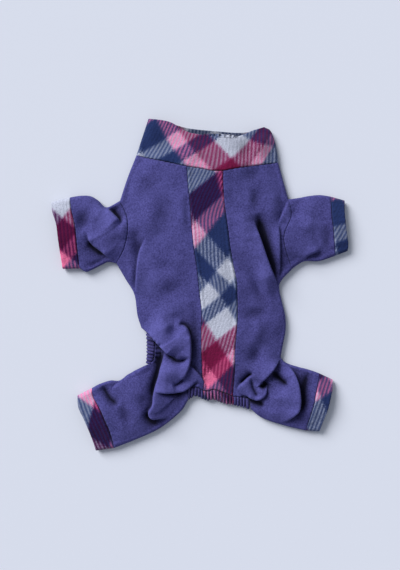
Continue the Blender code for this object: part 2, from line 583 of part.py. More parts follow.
def ribbon(name, seam_line, free_line, free_height, colour):
    """Casing between its seam and its free edge: gathered where it shows, plain where it is hidden."""
    hidden = free_height <= CASING_THICKNESS
    length = line_length(seam_line)
    gathers = max(2, round(length / (2 * PLAIN_PITCH if hidden else GATHER_PITCH)))
    draw_in = CASING_GAP / length
    shares = np.linspace(draw_in, 1.0 - draw_in, 2 * gathers + 1)
    seam = along_line(seam_line, shares)
    free = along_line(free_line, shares)
    seam = inset_line(seam, free, CASING_GAP)
    seam_z = np.full(len(shares), CASING_THICKNESS) if hidden else surface.upper(seam) - SEAM_DIP
    gathered = GATHER_HEIGHT * (GATHER_FLOOR + np.arange(len(shares)) % 2)
    puff = np.zeros(len(shares)) if hidden else gathered
    middle_line = (1 - CASING_MIDDLE) * seam + CASING_MIDDLE * free
    grid = np.array([((*seam[i], seam_z[i]), (*middle_line[i], seam_z[i] + puff[i]),
                      (*free[i], free_height + puff[i])) for i in range(len(shares))])
    faces = []
    add_quads(faces, np.arange(grid.shape[0] * 3).reshape(-1, 3), plan_turn(grid[..., :2]) > 0)
    return make_object(name, grid.reshape(-1, 3), faces, CASING_THICKNESS, colour, CASING_ROUGHNESS)


for old in list(bpy.data.objects):
    bpy.data.objects.remove(old, do_unlink=True)
garment = bpy.data.collections.new("cat_pyjama_jumpsuit")
bpy.context.scene.collection.children.link(garment)

# Plan of the two sides
neck = {
    "left": simple_line([body_at(p) for p in NECK_SEAM_LEFT]),
    "middle": simple_line([body_at(p) for p in NECK_SEAM_MIDDLE]),
    "right": simple_line([body_at(p) for p in NECK_SEAM_RIGHT]),
}
cuff_seams = {
    "left_front": simple_line([left_sleeve_at(p) for p in LEFT_FRONT_SEAM]),
    "right_front": simple_line([right_sleeve_at(p) for p in RIGHT_FRONT_SEAM]),
    "left_hind": simple_line([left_leg_at(p) for p in LEFT_HIND_SEAM]),
    "right_hind": simple_line([right_leg_at(p) for p in RIGHT_HIND_SEAM]),
}
side_specs = {
    "left": (LEFT_BODY + LEFT_LEG, [body_at] * len(LEFT_BODY) + [left_leg_at] * len(LEFT_LEG)),
    "right": (RIGHT_BODY + RIGHT_LEG, [body_at] * len(RIGHT_BODY) + [right_leg_at] * len(RIGHT_LEG)),
}
sides = {hand: side_edges(sections, places) for hand, (sections, places) in side_specs.items()}


def side_plans(hand):
    """Upper and lower plan grids of a side, and the flags of its edges."""
    outer, inner, outer_edges, inner_edges, under = sides[hand][:5]
    start = neck[hand] if hand == "left" else neck[hand][::-1]
    end = cuff_seams[hand + "_hind"]
    widths = np.linalg.norm(inner - outer, axis=1)
    upper_shares = [edge_bands(w, UPPER_COLUMNS) for w in widths]
    lower_shares = [edge_bands(max(w * u, 2 * FOLD_RADIUS), LOWER_COLUMNS) * u for w, u in zip(widths, under)]
    upper = blended_rows(outer, inner, start, end, upper_shares)
    lower = blended_rows(outer, inner, start, end, lower_shares)
    lower[under == 0.0] = np.nan
    count = len(outer)
    outer_folds = touches(outer_edges, FOLD, count)
    inner_folds = touches(inner_edges, FOLD, count)
    outer_seams = touches(outer_edges, SEAM, count)
    inner_seams = touches(inner_edges, SEAM, count)
    return upper, lower, under, outer_folds, inner_folds, outer_seams, inner_seams


plans = {hand: side_plans(hand) for hand in ("left", "right")}


def armhole(hand):
    """The armhole seam, from its top to its bottom."""
    outer, _, outer_edges = sides[hand][:3]
    first, after = stretches([edge == SEAM for edge in outer_edges])[0]
    return outer[first:after + 1]


def limb_lines(hand, at, sections):
    """Top and bottom edges of a sleeve, from the armhole to the cuff seam."""
    hole = armhole(hand)
    steps = [2] + [s.rows for s in sections]
    corners = [True] + [s.outer_corner for s in sections]
    top = smooth_line([hole[0]] + [at(s.outer) for s in sections], steps, corners)
    bottom = smooth_line([hole[-1]] + [at(s.inner) for s in sections], steps, corners)
    return top, bottom


sleeves = {
    "left": limb_lines("left", left_sleeve_at, LEFT_SLEEVE),
    "right": limb_lines("right", right_sleeve_at, RIGHT_SLEEVE),
}


def cuff_rim(limb, at, turn, width, depth, seam_line, rim):
    """Rim of a cuff, a stated depth past its seam."""
    seam = along_line(seam_line, np.linspace(0.0, 1.0, len(rim)))
    along = np.array((cos(radians(turn)), sin(radians(turn))))
    root = body_at(LIMB_ROOTS[limb])
    across = (at((0.0, 1.0)) - root) / width
    points = []
    for (out, up), base in zip(rim, seam):
        points.append(base + along * (out * depth) + across * (up * width - np.dot(base - root, across)))
    return simple_line(points)


cuff_rims = {
    "left_front": cuff_rim("left_sleeve", left_sleeve_at, LEFT_SLEEVE_TURN, SLEEVE_WIDTH,
                           FRONT_CUFF_DEPTH, cuff_seams["left_front"], LEFT_FRONT_RIM),
    "right_front": cuff_rim("right_sleeve", right_sleeve_at, RIGHT_SLEEVE_TURN, SLEEVE_WIDTH,
                            FRONT_CUFF_DEPTH, cuff_seams["right_front"], RIGHT_FRONT_RIM),
    "left_hind": cuff_rim("left_leg", left_leg_at, LEFT_LEG_TURN, LEG_WIDTH, HIND_CUFF_DEPTH,
                          cuff_seams["left_hind"], LEFT_HIND_RIM),
    "right_hind": cuff_rim("right_leg", right_leg_at, RIGHT_LEG_TURN, LEG_WIDTH, HIND_CUFF_DEPTH,
                           cuff_seams["right_hind"], RIGHT_HIND_RIM),
}


def collar_at(share):
    return np.array((share[0] * CHEST_WIDTH, share[1] * COLLAR_HEIGHT))


near_rim = simple_line([collar_at(p) for p in NEAR_RIM])
far_rim = simple_line([collar_at(p) for p in FAR_RIM])
collar_left = np.stack((neck["left"][0], near_rim[0]))
collar_right = simple_line([neck["right"][-1]] + [collar_at(p) for p in COLLAR_RIGHT_EDGE[1:]])

# All the lines along which the cloth folds from the upper to the lower layer
fold_lines = [collar_left, collar_right]
for hand in ("left", "right"):
    outer, inner, outer_edges, inner_edges = sides[hand][:4]
    for first, after in stretches([edge == FOLD for edge in outer_edges]):
        fold_lines.append(outer[first:after + 1])
    for first, after in stretches([edge == FOLD for edge in inner_edges]):
        fold_lines.append(inner[first:after + 1])
    fold_lines.extend(sleeves[hand])
for name, rim in cuff_rims.items():
    fold_lines.append(np.stack((cuff_seams[name][0], rim[0])))
    fold_lines.append(np.stack((cuff_seams[name][-1], rim[-1])))
left_outer = sides["left"][0]
flank_first, flank_after = stretches([edge == SEAM for edge in sides["left"][2]])[1]
flank_seam = left_outer[flank_first:flank_after + 1]
flank_free = flank_seam.copy()
flank_free[:, 0] = np.minimum(flank_seam[0, 0], flank_seam[-1, 0])
fold_lines.append(np.stack((flank_free[0], flank_free[-1])))
tail_seams = {"middle": simple_line([body_at(p) for p in TAIL_MIDDLE])}
for hand in ("left", "right"):
    first, last = sides[hand][5][1:3]
    tail_seams[hand] = sides[hand][1][first:last + 1]
tail_seam = np.concatenate((tail_seams["left"][::-1], tail_seams["middle"][1:], tail_seams["right"][1:]))
surface = Surface(fold_lines, tail_seam)

# Sides, each in one with its hind leg
for hand in ("left", "right"):
    upper, lower, under, outer_folds, inner_folds, outer_seams, inner_seams = plans[hand]
    lower_outer = outer_seams & (under > 0.0)
    lower_inner = (under > 0.0) & ~inner_folds
    sewn = (True, True, outer_seams, inner_seams, lower_outer, lower_inner)
    layered_object(hand + "_side", upper, lower, outer_folds, inner_folds, sewn, JERSEY_WALL, JERSEY_COLOUR,
                   JERSEY_ROUGHNESS)


# Sleeves and front cuffs: their columns continue the rows of the sides along the armholes
def hole_shares(hand, width):
    hole = armhole(hand)
    steps = np.concatenate(([0.0], np.cumsum(np.linalg.norm(np.diff(hole, axis=0), axis=1))))
    bands = edge_bands(width, 0)
    return np.concatenate((bands[:3], steps[1:-1] / steps[-1], bands[3:]))


def tube_object(name, top, bottom, start, end, far_end, column_shares, end_sewn, wall, colour, roughness):
    """Piece round a limb: an upper and a lower layer joined along both edges."""
    widths = np.linalg.norm(top - bottom, axis=1)
    upper_shares, lower_shares = ([shares(w) for w in widths] for shares in column_shares)
    upper = blended_rows(top, bottom, start, end, upper_shares)
    lower = blended_rows(top, bottom, start, far_end, lower_shares)
    every = np.ones(len(top), bool)
    sewn = (True, end_sewn, None, None, None, None)
    layered_object(name, upper, lower, every, every, sewn, wall, colour, roughness)


for hand in ("left", "right"):
    shares = (lambda w, h=hand: hole_shares(h, w),) * 2
    top, bottom = sleeves[hand]
    seam_line = cuff_seams[hand + "_front"]
    tube_object(hand + "_front_sleeve", top, bottom, armhole(hand), seam_line, seam_line, shares, True,
                JERSEY_WALL, JERSEY_COLOUR, JERSEY_ROUGHNESS)

for name, seam_line in cuff_seams.items():
    hand, limb = name.split("_")
    rim = cuff_rims[name]
    rows = np.linspace(0.0, 1.0, CUFF_ROWS + 1)[:, None]
    top = seam_line[0] * (1 - rows) + rim[0] * rows
    bottom = seam_line[-1] * (1 - rows) + rim[-1] * rows
    if limb == "front":
        shares = (lambda w, h=hand: hole_shares(h, w),) * 2
    else:
        shares = (lambda w: edge_bands(w, UPPER_COLUMNS), lambda w: edge_bands(w, LOWER_COLUMNS))
    tube_object(name + "_cuff", top, bottom, seam_line, rim, rim, shares, False, FLEECE_WALL, FLEECE_COLOUR,
                FLEECE_ROUGHNESS)

# Collar
rows = np.linspace(0.0, 1.0, COLLAR_ROWS + 1)
left_edge = along_line(collar_left, rows)
right_edge = along_line(collar_right, rows)
neck_line = np.concatenate((neck["left"], neck["middle"][1:], neck["right"][1:]))
collar_shares = (lambda w: edge_bands(w, COLLAR_COLUMNS), lambda w: edge_bands(w, COLLAR_LOWER_COLUMNS))
tube_object("collar", left_edge, right_edge, neck_line, near_rim, far_rim, collar_shares, False, FLEECE_WALL,
            FLEECE_COLOUR, FLEECE_ROUGHNESS)

# Spine stripe
rows = np.linspace(0.0, 1.0, STRIPE_ROWS + 1)
left_seam = along_line(sides["left"][1][:sides["left"][5][1] + 1], rows)
right_seam = along_line(sides["right"][1][:sides["right"][5][1] + 1], rows)
widths = np.linalg.norm(right_seam - left_seam, axis=1)
shares = [edge_bands(w, STRIPE_COLUMNS - 1) for w in widths]
grid = blended_rows(left_seam, right_seam, neck["middle"], tail_seams["middle"], shares)
every = np.ones(len(rows), bool)
none = np.zeros(len(rows), bool)
layered_object("back_stripe", grid, None, none, none, (True, True, every, every, None, None), FLEECE_WALL,
               FLEECE_COLOUR, FLEECE_ROUGHNESS, ROLL_HEIGHT)

# Belly panel, on the lower layer only
hem_rows = {hand: sum(s.rows for s in side_specs[hand][0][:HEM_SECTION]) for hand in ("left", "right")}
belly_seams = {hand: plans[hand][1][:hem_rows[hand] + 1, -1] for hand in ("left", "right")}
neck_lengths = {name: line_length(line) for name, line in neck.items()}
neck_total = sum(neck_lengths.values())
first = LEFT_BODY[0].under * neck_lengths["left"] / neck_total
last = 1.0 - RIGHT_BODY[0].under * neck_lengths["right"] / neck_total
belly_neck = along_line(neck_line, np.linspace(first, last, 2 * BELLY_ROWS))
belly_hem = np.stack((belly_seams["left"][-1], belly_seams["right"][-1]))
rows = np.linspace(0.0, 1.0, BELLY_ROWS + 1)
left_seam = along_line(belly_seams["left"], rows)
right_seam = along_line(belly_seams["right"], rows)
shares = [np.linspace(0.0, 1.0, BELLY_COLUMNS + 1)] * len(rows)
every = np.ones(len(rows), bool)
belly = blended_rows(left_seam, right_seam, belly_neck, belly_hem, shares)
belly = inset_piece(belly, True, True, every, every)
heights = surface.lower(belly.reshape(-1, 2)) + dips(belly.shape[:2], True, True, every, every).ravel()
faces = []
add_quads(faces, np.arange(len(heights)).reshape(belly.shape[:2]), plan_turn(belly) < 0)
points = np.column_stack((belly.reshape(-1, 2), heights))
make_object("belly_panel", points, faces, JERSEY_WALL, JERSEY_COLOUR, JERSEY_ROUGHNESS)

# Elastic casing round the rear opening: three stretches at the tail, one that shows at the left flank, and
# plain ones under the belly and the thighs
for place, seam_line in tail_seams.items():
    depths = TAIL_DEPTHS[place]
    shares = np.linspace(0.0, 1.0, DEPTH_STEPS * (len(depths) - 1) + 1)
    free_line = along_line(seam_line, shares)
    free_line[:, 1] -= np.interp(shares, np.linspace(0.0, 1.0, len(depths)), depths) * CASING_WIDTH
    colour = FLEECE_COLOUR if place == "middle" else CASING_COLOUR
    ribbon("tail_casing_" + place, seam_line, free_line, TAIL_HEM_HEIGHT, colour)
seam_line = along_line(flank_seam, np.linspace(FLANK_CASING_START, FLANK_CASING_END, CURVE_STEPS))
toward = seam_line - np.array((CASING_WIDTH, 0.0))
ribbon("flank_casing", seam_line, inset_line(seam_line, toward, CASING_WIDTH), TAIL_HEM_HEIGHT, CASING_COLOUR)

hem_start = plans["left"][1][hem_rows["left"], 2]
belly_casing_seam = np.stack((hem_start, *belly_hem))
ribbon("belly_casing", belly_casing_seam, belly_casing_seam - np.array((0.0, CASING_WIDTH)), CASING_THICKNESS,
       CASING_COLOUR)
for hand, start_trim in THIGH_CASING_START.items():
    under, inner_folds = plans[hand][2], plans[hand][4]
    rows = np.arange(len(under))
    first_row = np.flatnonzero((under > 0.0) & (rows > hem_rows[hand]))[0]
    crotch_row = np.flatnonzero(inner_folds)[0]
    edge = plans[hand][1][first_row:crotch_row + 1, -1]
    trim = CASING_WIDTH / line_length(edge)
    shares = np.linspace(start_trim * trim, 1.0 - THIGH_CASING_END * trim, CURVE_STEPS + 2)
    seam_line = along_line(edge, shares)
    free_line = inset_line(seam_line, body_at(OPENING_MIDDLE)[None], CASING_WIDTH)
    ribbon(hand + "_thigh_casing", seam_line, free_line, CASING_THICKNESS, CASING_COLOUR)

# The origin goes under the middle of the garment's outline
corners = np.array([tuple(v.co) for piece in garment.objects for v in piece.data.vertices])
middle = 0.5 * (corners.min(axis=0) + corners.max(axis=0))
for piece in garment.objects:
    for vertex in piece.data.vertices:
        vertex.co.x -= middle[0]
        vertex.co.y -= middle[1]
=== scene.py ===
"""Looks of the cat pyjama jumpsuit: brushed violet jersey and bias plaid fleece, laid flat, back up."""

from collections import namedtuple
from math import cos, pi, radians, sin

import bpy
import numpy as np
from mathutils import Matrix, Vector, noise


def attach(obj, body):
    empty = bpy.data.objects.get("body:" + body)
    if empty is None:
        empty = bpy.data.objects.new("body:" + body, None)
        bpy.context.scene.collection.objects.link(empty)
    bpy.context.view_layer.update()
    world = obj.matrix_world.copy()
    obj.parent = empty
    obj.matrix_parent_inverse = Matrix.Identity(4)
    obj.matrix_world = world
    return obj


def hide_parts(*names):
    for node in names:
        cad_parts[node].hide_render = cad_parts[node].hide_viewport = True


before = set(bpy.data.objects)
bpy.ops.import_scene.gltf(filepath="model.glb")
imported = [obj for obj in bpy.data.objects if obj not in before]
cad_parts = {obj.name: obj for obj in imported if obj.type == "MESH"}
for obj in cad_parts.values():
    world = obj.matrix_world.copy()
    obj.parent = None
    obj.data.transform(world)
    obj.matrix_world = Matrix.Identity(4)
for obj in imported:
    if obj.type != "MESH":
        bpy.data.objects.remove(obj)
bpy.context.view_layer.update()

# The cut of the sides. Each is one panel of brushed violet jersey, cut in one with its hind leg: it runs
# from the spine stripe round the flank to the belly seam. It is sewn right sides together along the
# stripe, the collar, the armhole and the cuff, and lies here with a soft round fold at its outline.
CHEST_WIDTH = 0.194
BACK_LENGTH = 0.282
COLLAR_HEIGHT = 0.043
NECK_MIDDLE = np.array((0.00877, 0.14381))  # where the stripe meets the collar seam
FOLD_RADIUS = 0.0042
BELLY_SEAM = 0.27
HEM_SECTION = 10
TAIL_BENDS = {"left": 0.036, "right": 0.0}  # of the rows near the tail's corner, to run clear of its seam
TAIL_BEND_ROWS = 11
FINE = 8  # mesh rows for each row of a section
CURVE_STEPS = 8
BAND_STEPS = 6
UPPER_COLUMNS = 86
LOWER_COLUMNS = 16
FOLD = "fold"
SEAM = "seam"

Section = namedtuple("Section", "outer inner rows outer_edge inner_edge under outer_corner inner_corner",
                     defaults=(0.42, False, False))

# Across and along are shares of CHEST_WIDTH and BACK_LENGTH, from the middle of the collar seam.
LEFT_BODY = (
    Section((-0.438, -0.043), (-0.123, 0.011), 2, FOLD, SEAM, 0.42, True, True),
    Section((-0.494, 0.055), (-0.117, 0.081), 2, FOLD, SEAM),
    Section((-0.540, 0.151), (-0.106, 0.153), 2, SEAM, SEAM, 0.42, True),
    Section((-0.494, 0.221), (-0.098, 0.230), 2, SEAM, SEAM),
    Section((-0.486, 0.285), (-0.091, 0.289), 2, SEAM, SEAM),
    Section((-0.512, 0.357), (-0.080, 0.357), 2, SEAM, SEAM),
    Section((-0.562, 0.419), (-0.066, 0.421), 2, FOLD, SEAM, 0.42, True),
    Section((-0.506, 0.485), (-0.054, 0.485), 2, FOLD, SEAM),
    Section((-0.451, 0.551), (-0.044, 0.553), 2, FOLD, SEAM),
    Section((-0.432, 0.638), (-0.032, 0.626), 2, FOLD, SEAM),
    Section((-0.407, 0.694), (-0.035, 0.681), 1, SEAM, SEAM, 0.42, True),
    Section((-0.328, 0.730), (-0.035, 0.728), 2, SEAM, SEAM, 0.0),
    Section((-0.323, 0.783), (-0.035, 0.783), 2, SEAM, SEAM, 0.0),
    Section((-0.332, 0.832), (-0.032, 0.830), 1, SEAM, SEAM, 0.0),
    Section((-0.386, 0.855), (-0.030, 0.872), 2, FOLD, SEAM, 0.16, True),
    Section((-0.451, 0.877), (-0.022, 0.960), 1, FOLD, SEAM, 0.45, False, True),
    Section((-0.472, 0.886), (-0.060, 0.946), 1, FOLD, SEAM, 0.52),
    Section((-0.494, 0.894), (-0.114, 0.947), 2, FOLD, SEAM, 0.72, False, True),
)
RIGHT_BODY = (
    Section((0.444, -0.011), (0.099, 0.030), 2, FOLD, SEAM, 0.42, True, True),
    Section((0.469, 0.055), (0.099, 0.081), 2, FOLD, SEAM),
    Section((0.506, 0.145), (0.105, 0.153), 2, SEAM, SEAM, 0.42, True),
    Section((0.522, 0.213), (0.119, 0.226), 2, SEAM, SEAM),
    Section((0.478, 0.289), (0.133, 0.294), 2, SEAM, SEAM),
    Section((0.478, 0.345), (0.140, 0.340), 2, SEAM, SEAM),
    Section((0.528, 0.443), (0.160, 0.421), 2, FOLD, SEAM, 0.42, True),
    Section((0.460, 0.494), (0.182, 0.494), 2, FOLD, SEAM),
    Section((0.451, 0.536), (0.185, 0.540), 2, FOLD, SEAM),
    Section((0.485, 0.638), (0.188, 0.638), 2, FOLD, SEAM),
    Section((0.489, 0.700), (0.182, 0.700), 2, FOLD, SEAM),
    Section((0.472, 0.766), (0.173, 0.766), 2, FOLD, SEAM, 0.20),
    Section((0.457, 0.819), (0.171, 0.813), 2, FOLD, SEAM, 0.20, True),
    Section((0.481, 0.838), (0.172, 0.864), 2, FOLD, SEAM, 0.30),
    Section((0.520, 0.851), (0.160, 0.983), 1, FOLD, SEAM, 0.50, False, True),
    Section((0.552, 0.857), (0.213, 0.987), 1, FOLD, SEAM, 0.64),
    Section((0.580, 0.863), (0.265, 0.996), 1, FOLD, SEAM, 0.80, False, True),
)
# Out is a share of the limb's length from its root, up a share of its width from its middle line.
LEFT_LEG = (
    Section((0.544, 0.395), (-0.182, -0.383), 2, FOLD, FOLD, 1.0, False, True),
    Section((0.656, 0.461), (-0.003, -0.489), 2, FOLD, FOLD, 1.0),
    Section((0.786, 0.490), (0.352, -0.562), 2, FOLD, FOLD, 1.0),
    Section((0.863, 0.496), (0.695, -0.544), 2, FOLD, FOLD, 1.0),
    Section((0.936, 0.494), (1.056, -0.498), 0, FOLD, FOLD, 1.0, True, True),
)
RIGHT_LEG = (
    Section((0.738, 0.459), (0.214, -0.417), 2, FOLD, FOLD, 1.0, False, True),
    Section((0.788, 0.463), (0.415, -0.489), 2, FOLD, FOLD, 1.0),
    Section((0.869, 0.466), (0.742, -0.487), 2, FOLD, FOLD, 1.0),
    Section((0.959, 0.464), (1.045, -0.454), 0, FOLD, FOLD, 1.0, True, True),
)
LEFT_SLEEVE = (
    Section((0.319, 0.379), (0.277, -0.455), 2, FOLD, FOLD, 1.0),
    Section((0.489, 0.477), (0.447, -0.508), 2, FOLD, FOLD, 1.0),
    Section((0.660, 0.548), (0.638, -0.576), 1, FOLD, FOLD, 1.0),
    Section((0.872, 0.556), (0.766, -0.606), 2, FOLD, FOLD, 1.0),
    Section((1.106, 0.530), (0.894, -0.553), 0, FOLD, FOLD, 1.0, True, True),
)
RIGHT_SLEEVE = (
    Section((0.393, 0.541), (0.091, -0.458), 2, FOLD, FOLD, 1.0),
    Section((0.631, 0.539), (0.273, -0.425), 2, FOLD, FOLD, 1.0),
    Section((0.864, 0.520), (0.566, -0.464), 2, FOLD, FOLD, 1.0),
    Section((1.077, 0.468), (0.911, -0.436), 0, FOLD, FOLD, 1.0, True, True),
)
# The collar seam and the two rims, across and along as for the body; the rims' "along" is a share of
# COLLAR_HEIGHT above the seam line.
NECK_SEAM_LEFT = ((-0.438, -0.043), (-0.352, -0.026), (-0.228, -0.006), (-0.123, 0.011))
NECK_SEAM_MIDDLE = ((-0.123, 0.011), (-0.043, 0.019), (0.019, 0.028), (0.099, 0.030))
NECK_SEAM_RIGHT = ((0.099, 0.030), (0.204, 0.015), (0.327, 0.001), (0.444, -0.011))
NEAR_RIM = (
    (-0.364, 1.298), (-0.228, 1.187), (-0.105, 0.879), (0.080, 0.780), (0.191, 0.780), (0.285, 0.960),
    (0.358, 1.069),
)
FAR_RIM = (
    (-0.364, 1.298), (-0.228, 1.187), (-0.105, 1.049), (0.080, 0.964), (0.191, 0.930), (0.285, 0.970),
    (0.358, 1.069),
)
COLLAR_RIGHT_EDGE = ((0.444, -0.011), (0.438, 0.30), (0.420, 0.695), (0.395, 0.97), (0.358, 1.069))
# The seam of the tail hem under the stripe.
TAIL_MIDDLE = ((-0.022, 0.960), (0.012, 0.962), (0.037, 0.955), (0.080, 0.962), (0.160, 0.983))
# Each sleeve and leg: its root in body shares, its turn, length, width and cuff depth, the cuff's seam in
# limb shares, and its rim: past the seam, as a share of the depth, and up, as a share of the limb's width.
Limb = namedtuple("Limb", "root turn length width cuff_depth seam rim")
LIMBS = {
    "left_front": Limb(
        (-0.531, 0.285), 180.0, 0.056, 0.079, 0.021,
        ((1.106, 0.530), (1.064, 0.333), (1.0, 0.152),
         (0.957, -0.061), (0.936, -0.273), (0.894, -0.553)),
        ((1.06, 0.455), (1.10, 0.30), (1.08, 0.13),
         (1.07, -0.07), (1.02, -0.29), (0.97, -0.561))),
    "right_front": Limb(
        (0.499, 0.303), 11.3, 0.056, 0.079, 0.021,
        ((1.077, 0.468), (1.05, 0.333), (1.006, 0.138),
         (0.988, -0.045), (0.946, -0.348), (0.911, -0.436)),
        ((0.74, 0.367), (0.73, 0.25), (0.74, 0.10),
         (0.73, -0.09), (0.76, -0.30), (0.77, -0.400))),
    "left_hind": Limb(
        (-0.259, 0.936), 208.2, 0.085, 0.077, 0.020,
        ((0.936, 0.494), (0.974, 0.366), (0.963, 0.156),
         (0.978, -0.039), (0.995, -0.206), (1.056, -0.498)),
        ((0.97, 0.500), (1.06, 0.34), (1.14, 0.13),
         (1.12, -0.04), (1.08, -0.19), (1.05, -0.400))),
    "right_hind": Limb(
        (0.237, 0.912), -19.1, 0.085, 0.077, 0.020,
        ((0.959, 0.464), (0.983, 0.366), (1.01, 0.112),
         (1.031, -0.029), (1.044, -0.355), (1.045, -0.454)),
        ((0.90, 0.440), (0.92, 0.30), (0.92, 0.10),
         (0.88, -0.06), (0.82, -0.26), (0.80, -0.400))),
}


def body_at(share):
    """Plan point from shares of the chest width and the back length."""
    return NECK_MIDDLE + np.array((share[0] * CHEST_WIDTH, -share[1] * BACK_LENGTH))


def limb_at(limb):
    """Function that turns (out, up) shares of a limb into plan points."""
    along = np.array((cos(radians(limb.turn)), sin(radians(limb.turn))))
    if along[0] < 0.0:
        across = np.array((along[1], -along[0]))
    else:
        across = np.array((-along[1], along[0]))
    start = body_at(limb.root)
    return lambda share: start + along * (share[0] * limb.length) + across * (share[1] * limb.width)


limb_points = {name: limb_at(limb) for name, limb in LIMBS.items()}


def smooth_line(points, steps, corners):
    """Curve through the points, broken at the corners, with a number of steps to each next point."""
    line = []
    last = len(points) - 1
    for i in range(last):
        here, there = points[i], points[i + 1]
        before = here - (there - here) if i == 0 or corners[i] else points[i - 1]
        after = there + (there - here) if i + 1 == last or corners[i + 1] else points[i + 2]
        for step in range(steps[i]):
            t = step / steps[i]
            line.append(0.5 * (2 * here + (there - before) * t
                               + (2 * before - 5 * here + 4 * there - after) * t * t
                               + (3 * here - before - 3 * there + after) * t ** 3))
    line.append(points[last])
    return np.array(line)


def simple_line(points):
    """Smooth curve without corners through a short list of plan points."""
    count = len(points)
    return smooth_line([np.array(p) for p in points], [CURVE_STEPS] * count, [False] * count)


def line_length(line):
    return np.sum(np.linalg.norm(np.diff(line, axis=0), axis=1))


def along_line(line, shares):
    """Points at the given shares of a line's length."""
    lengths = np.concatenate(([0.0], np.cumsum(np.linalg.norm(np.diff(line, axis=0), axis=1))))
    at = np.asarray(shares) * lengths[-1]
    return np.stack([np.interp(at, lengths, line[:, k]) for k in range(2)], axis=1)


def edge_bands(width, columns):
    """Shares across a row: close together in the bands at its edges, even between them."""
    band = min(FOLD_RADIUS / width, 0.25)
    near = band * (1 - np.cos(np.linspace(0.0, pi / 2, BAND_STEPS + 1)))
    between = np.linspace(band, 1.0 - band, columns + 2)[1:-1]
    return np.concatenate((near, between, 1.0 - near[::-1]))


def blended_rows(outer, inner, start, end, share_rows, places=None):
    """Plan grid between two edges, whose first and last rows follow the start and end curves. The places
    are the rows' shares of the way from one to the other."""
    grid = []
    places = np.linspace(0.0, 1.0, len(outer)) if places is None else places
    for i, place in enumerate(places):
        shares = share_rows[i][:, None]
        row = outer[i] * (1 - shares) + inner[i] * shares
        for curve, weight in ((start, (1 - place) ** 2), (end, place ** 2)):
            straight = curve[0] * (1 - shares) + curve[-1] * shares
            row = row + weight * (along_line(curve, share_rows[i]) - straight)
        grid.append(row)
    return np.array(grid)


def stretches(flags):
    """Index ranges over which a flag holds."""
    found = []
    start = None
    for i, flag in enumerate(list(flags) + [False]):
        if flag and start is None:
            start = i
        if not flag and start is not None:
            found.append((start, i))
            start = None
    return found


def side_edges(sections, places):
    """Outer and inner edge of a side with its hind leg, and how much of each row has a lower layer."""
    steps = [s.rows * FINE for s in sections]
    outer = smooth_line([at(s.outer) for at, s in zip(places, sections)], steps,
                        [s.outer_corner for s in sections])
    inner = smooth_line([at(s.inner) for at, s in zip(places, sections)], steps,
                        [s.inner_corner for s in sections])
    outer_edges = [s.outer_edge for s in sections for _ in range(s.rows * FINE)]
    inner_edges = [s.inner_edge for s in sections for _ in range(s.rows * FINE)]
    key_rows = np.concatenate(([0], np.cumsum(steps[:-1])))
    under = np.interp(np.arange(len(outer)), key_rows, [s.under for s in sections])
    hem_row = key_rows[HEM_SECTION]
    seam_x = NECK_MIDDLE[0] + np.sign(outer[0, 0] - NECK_MIDDLE[0]) * BELLY_SEAM * CHEST_WIDTH
    body = slice(0, hem_row + 1)
    under[body] = (outer[body, 0] - seam_x) / (outer[body, 0] - inner[body, 0])
    for i, s in enumerate(sections):
        if s.under == 0.0:
            under[key_rows[i] - steps[i - 1] + 1:key_rows[i] + steps[i]] = 0.0
    corner_rows = [row for row, s in zip(key_rows, sections) if s.inner_corner]
    return outer, inner, outer_edges, inner_edges, under, corner_rows


def touches(edges, kind, count):
    """For each row, whether a stretch of that kind starts or ends there."""
    flags = np.zeros(count, bool)
    for i, edge in enumerate(edges):
        if edge == kind:
            flags[i] = flags[i + 1] = True
    return flags


neck = {
    "left": simple_line([body_at(p) for p in NECK_SEAM_LEFT]),
    "middle": simple_line([body_at(p) for p in NECK_SEAM_MIDDLE]),
    "right": simple_line([body_at(p) for p in NECK_SEAM_RIGHT]),
}
cuff_seams = {name: simple_line([limb_points[name](p) for p in limb.seam]) for name, limb in LIMBS.items()}
side_specs = {
    hand: (body + leg, [body_at] * len(body) + [limb_points[hand + "_hind"]] * len(leg))
    for hand, body, leg in (("left", LEFT_BODY, LEFT_LEG), ("right", RIGHT_BODY, RIGHT_LEG))
}
sides = {hand: side_edges(sections, places) for hand, (sections, places) in side_specs.items()}


def side_plans(hand):
    """Upper and lower plan grids of a side, and the flags of its edges."""
    outer, inner, outer_edges, inner_edges, under = sides[hand][:5]
    start = neck[hand] if hand == "left" else neck[hand][::-1]
    end = cuff_seams[hand + "_hind"]
    widths = np.linalg.norm(inner - outer, axis=1)
    upper_shares = [edge_bands(w, UPPER_COLUMNS) for w in widths]
    lower_shares = [edge_bands(max(w * u, 2 * FOLD_RADIUS), LOWER_COLUMNS) * u
                    for w, u in zip(widths, under)]
    upper = blended_rows(outer, inner, start, end, upper_shares)
    bends = TAIL_BENDS[hand] * np.exp(-((np.arange(len(outer)) - sides[hand][5][1]) / TAIL_BEND_ROWS) ** 2)
    for row, bend, row_shares in zip(upper, bends, upper_shares):
        row[:, 1] += bend * row_shares ** 2 * (1 - row_shares)
    lower = blended_rows(outer, inner, start, end, lower_shares)
    lower[under == 0.0] = np.nan
    count = len(outer)
    folds = (touches(outer_edges, FOLD, count), touches(inner_edges, FOLD, count))
    return upper, lower, under, folds


plans = {hand: side_plans(hand) for hand in ("left", "right")}


def armhole(hand):
    """The armhole seam, from its top to its bottom."""
    outer, _, outer_edges = sides[hand][:3]
    first, after = stretches([edge == SEAM for edge in outer_edges])[0]
    return outer[first:after + 1]


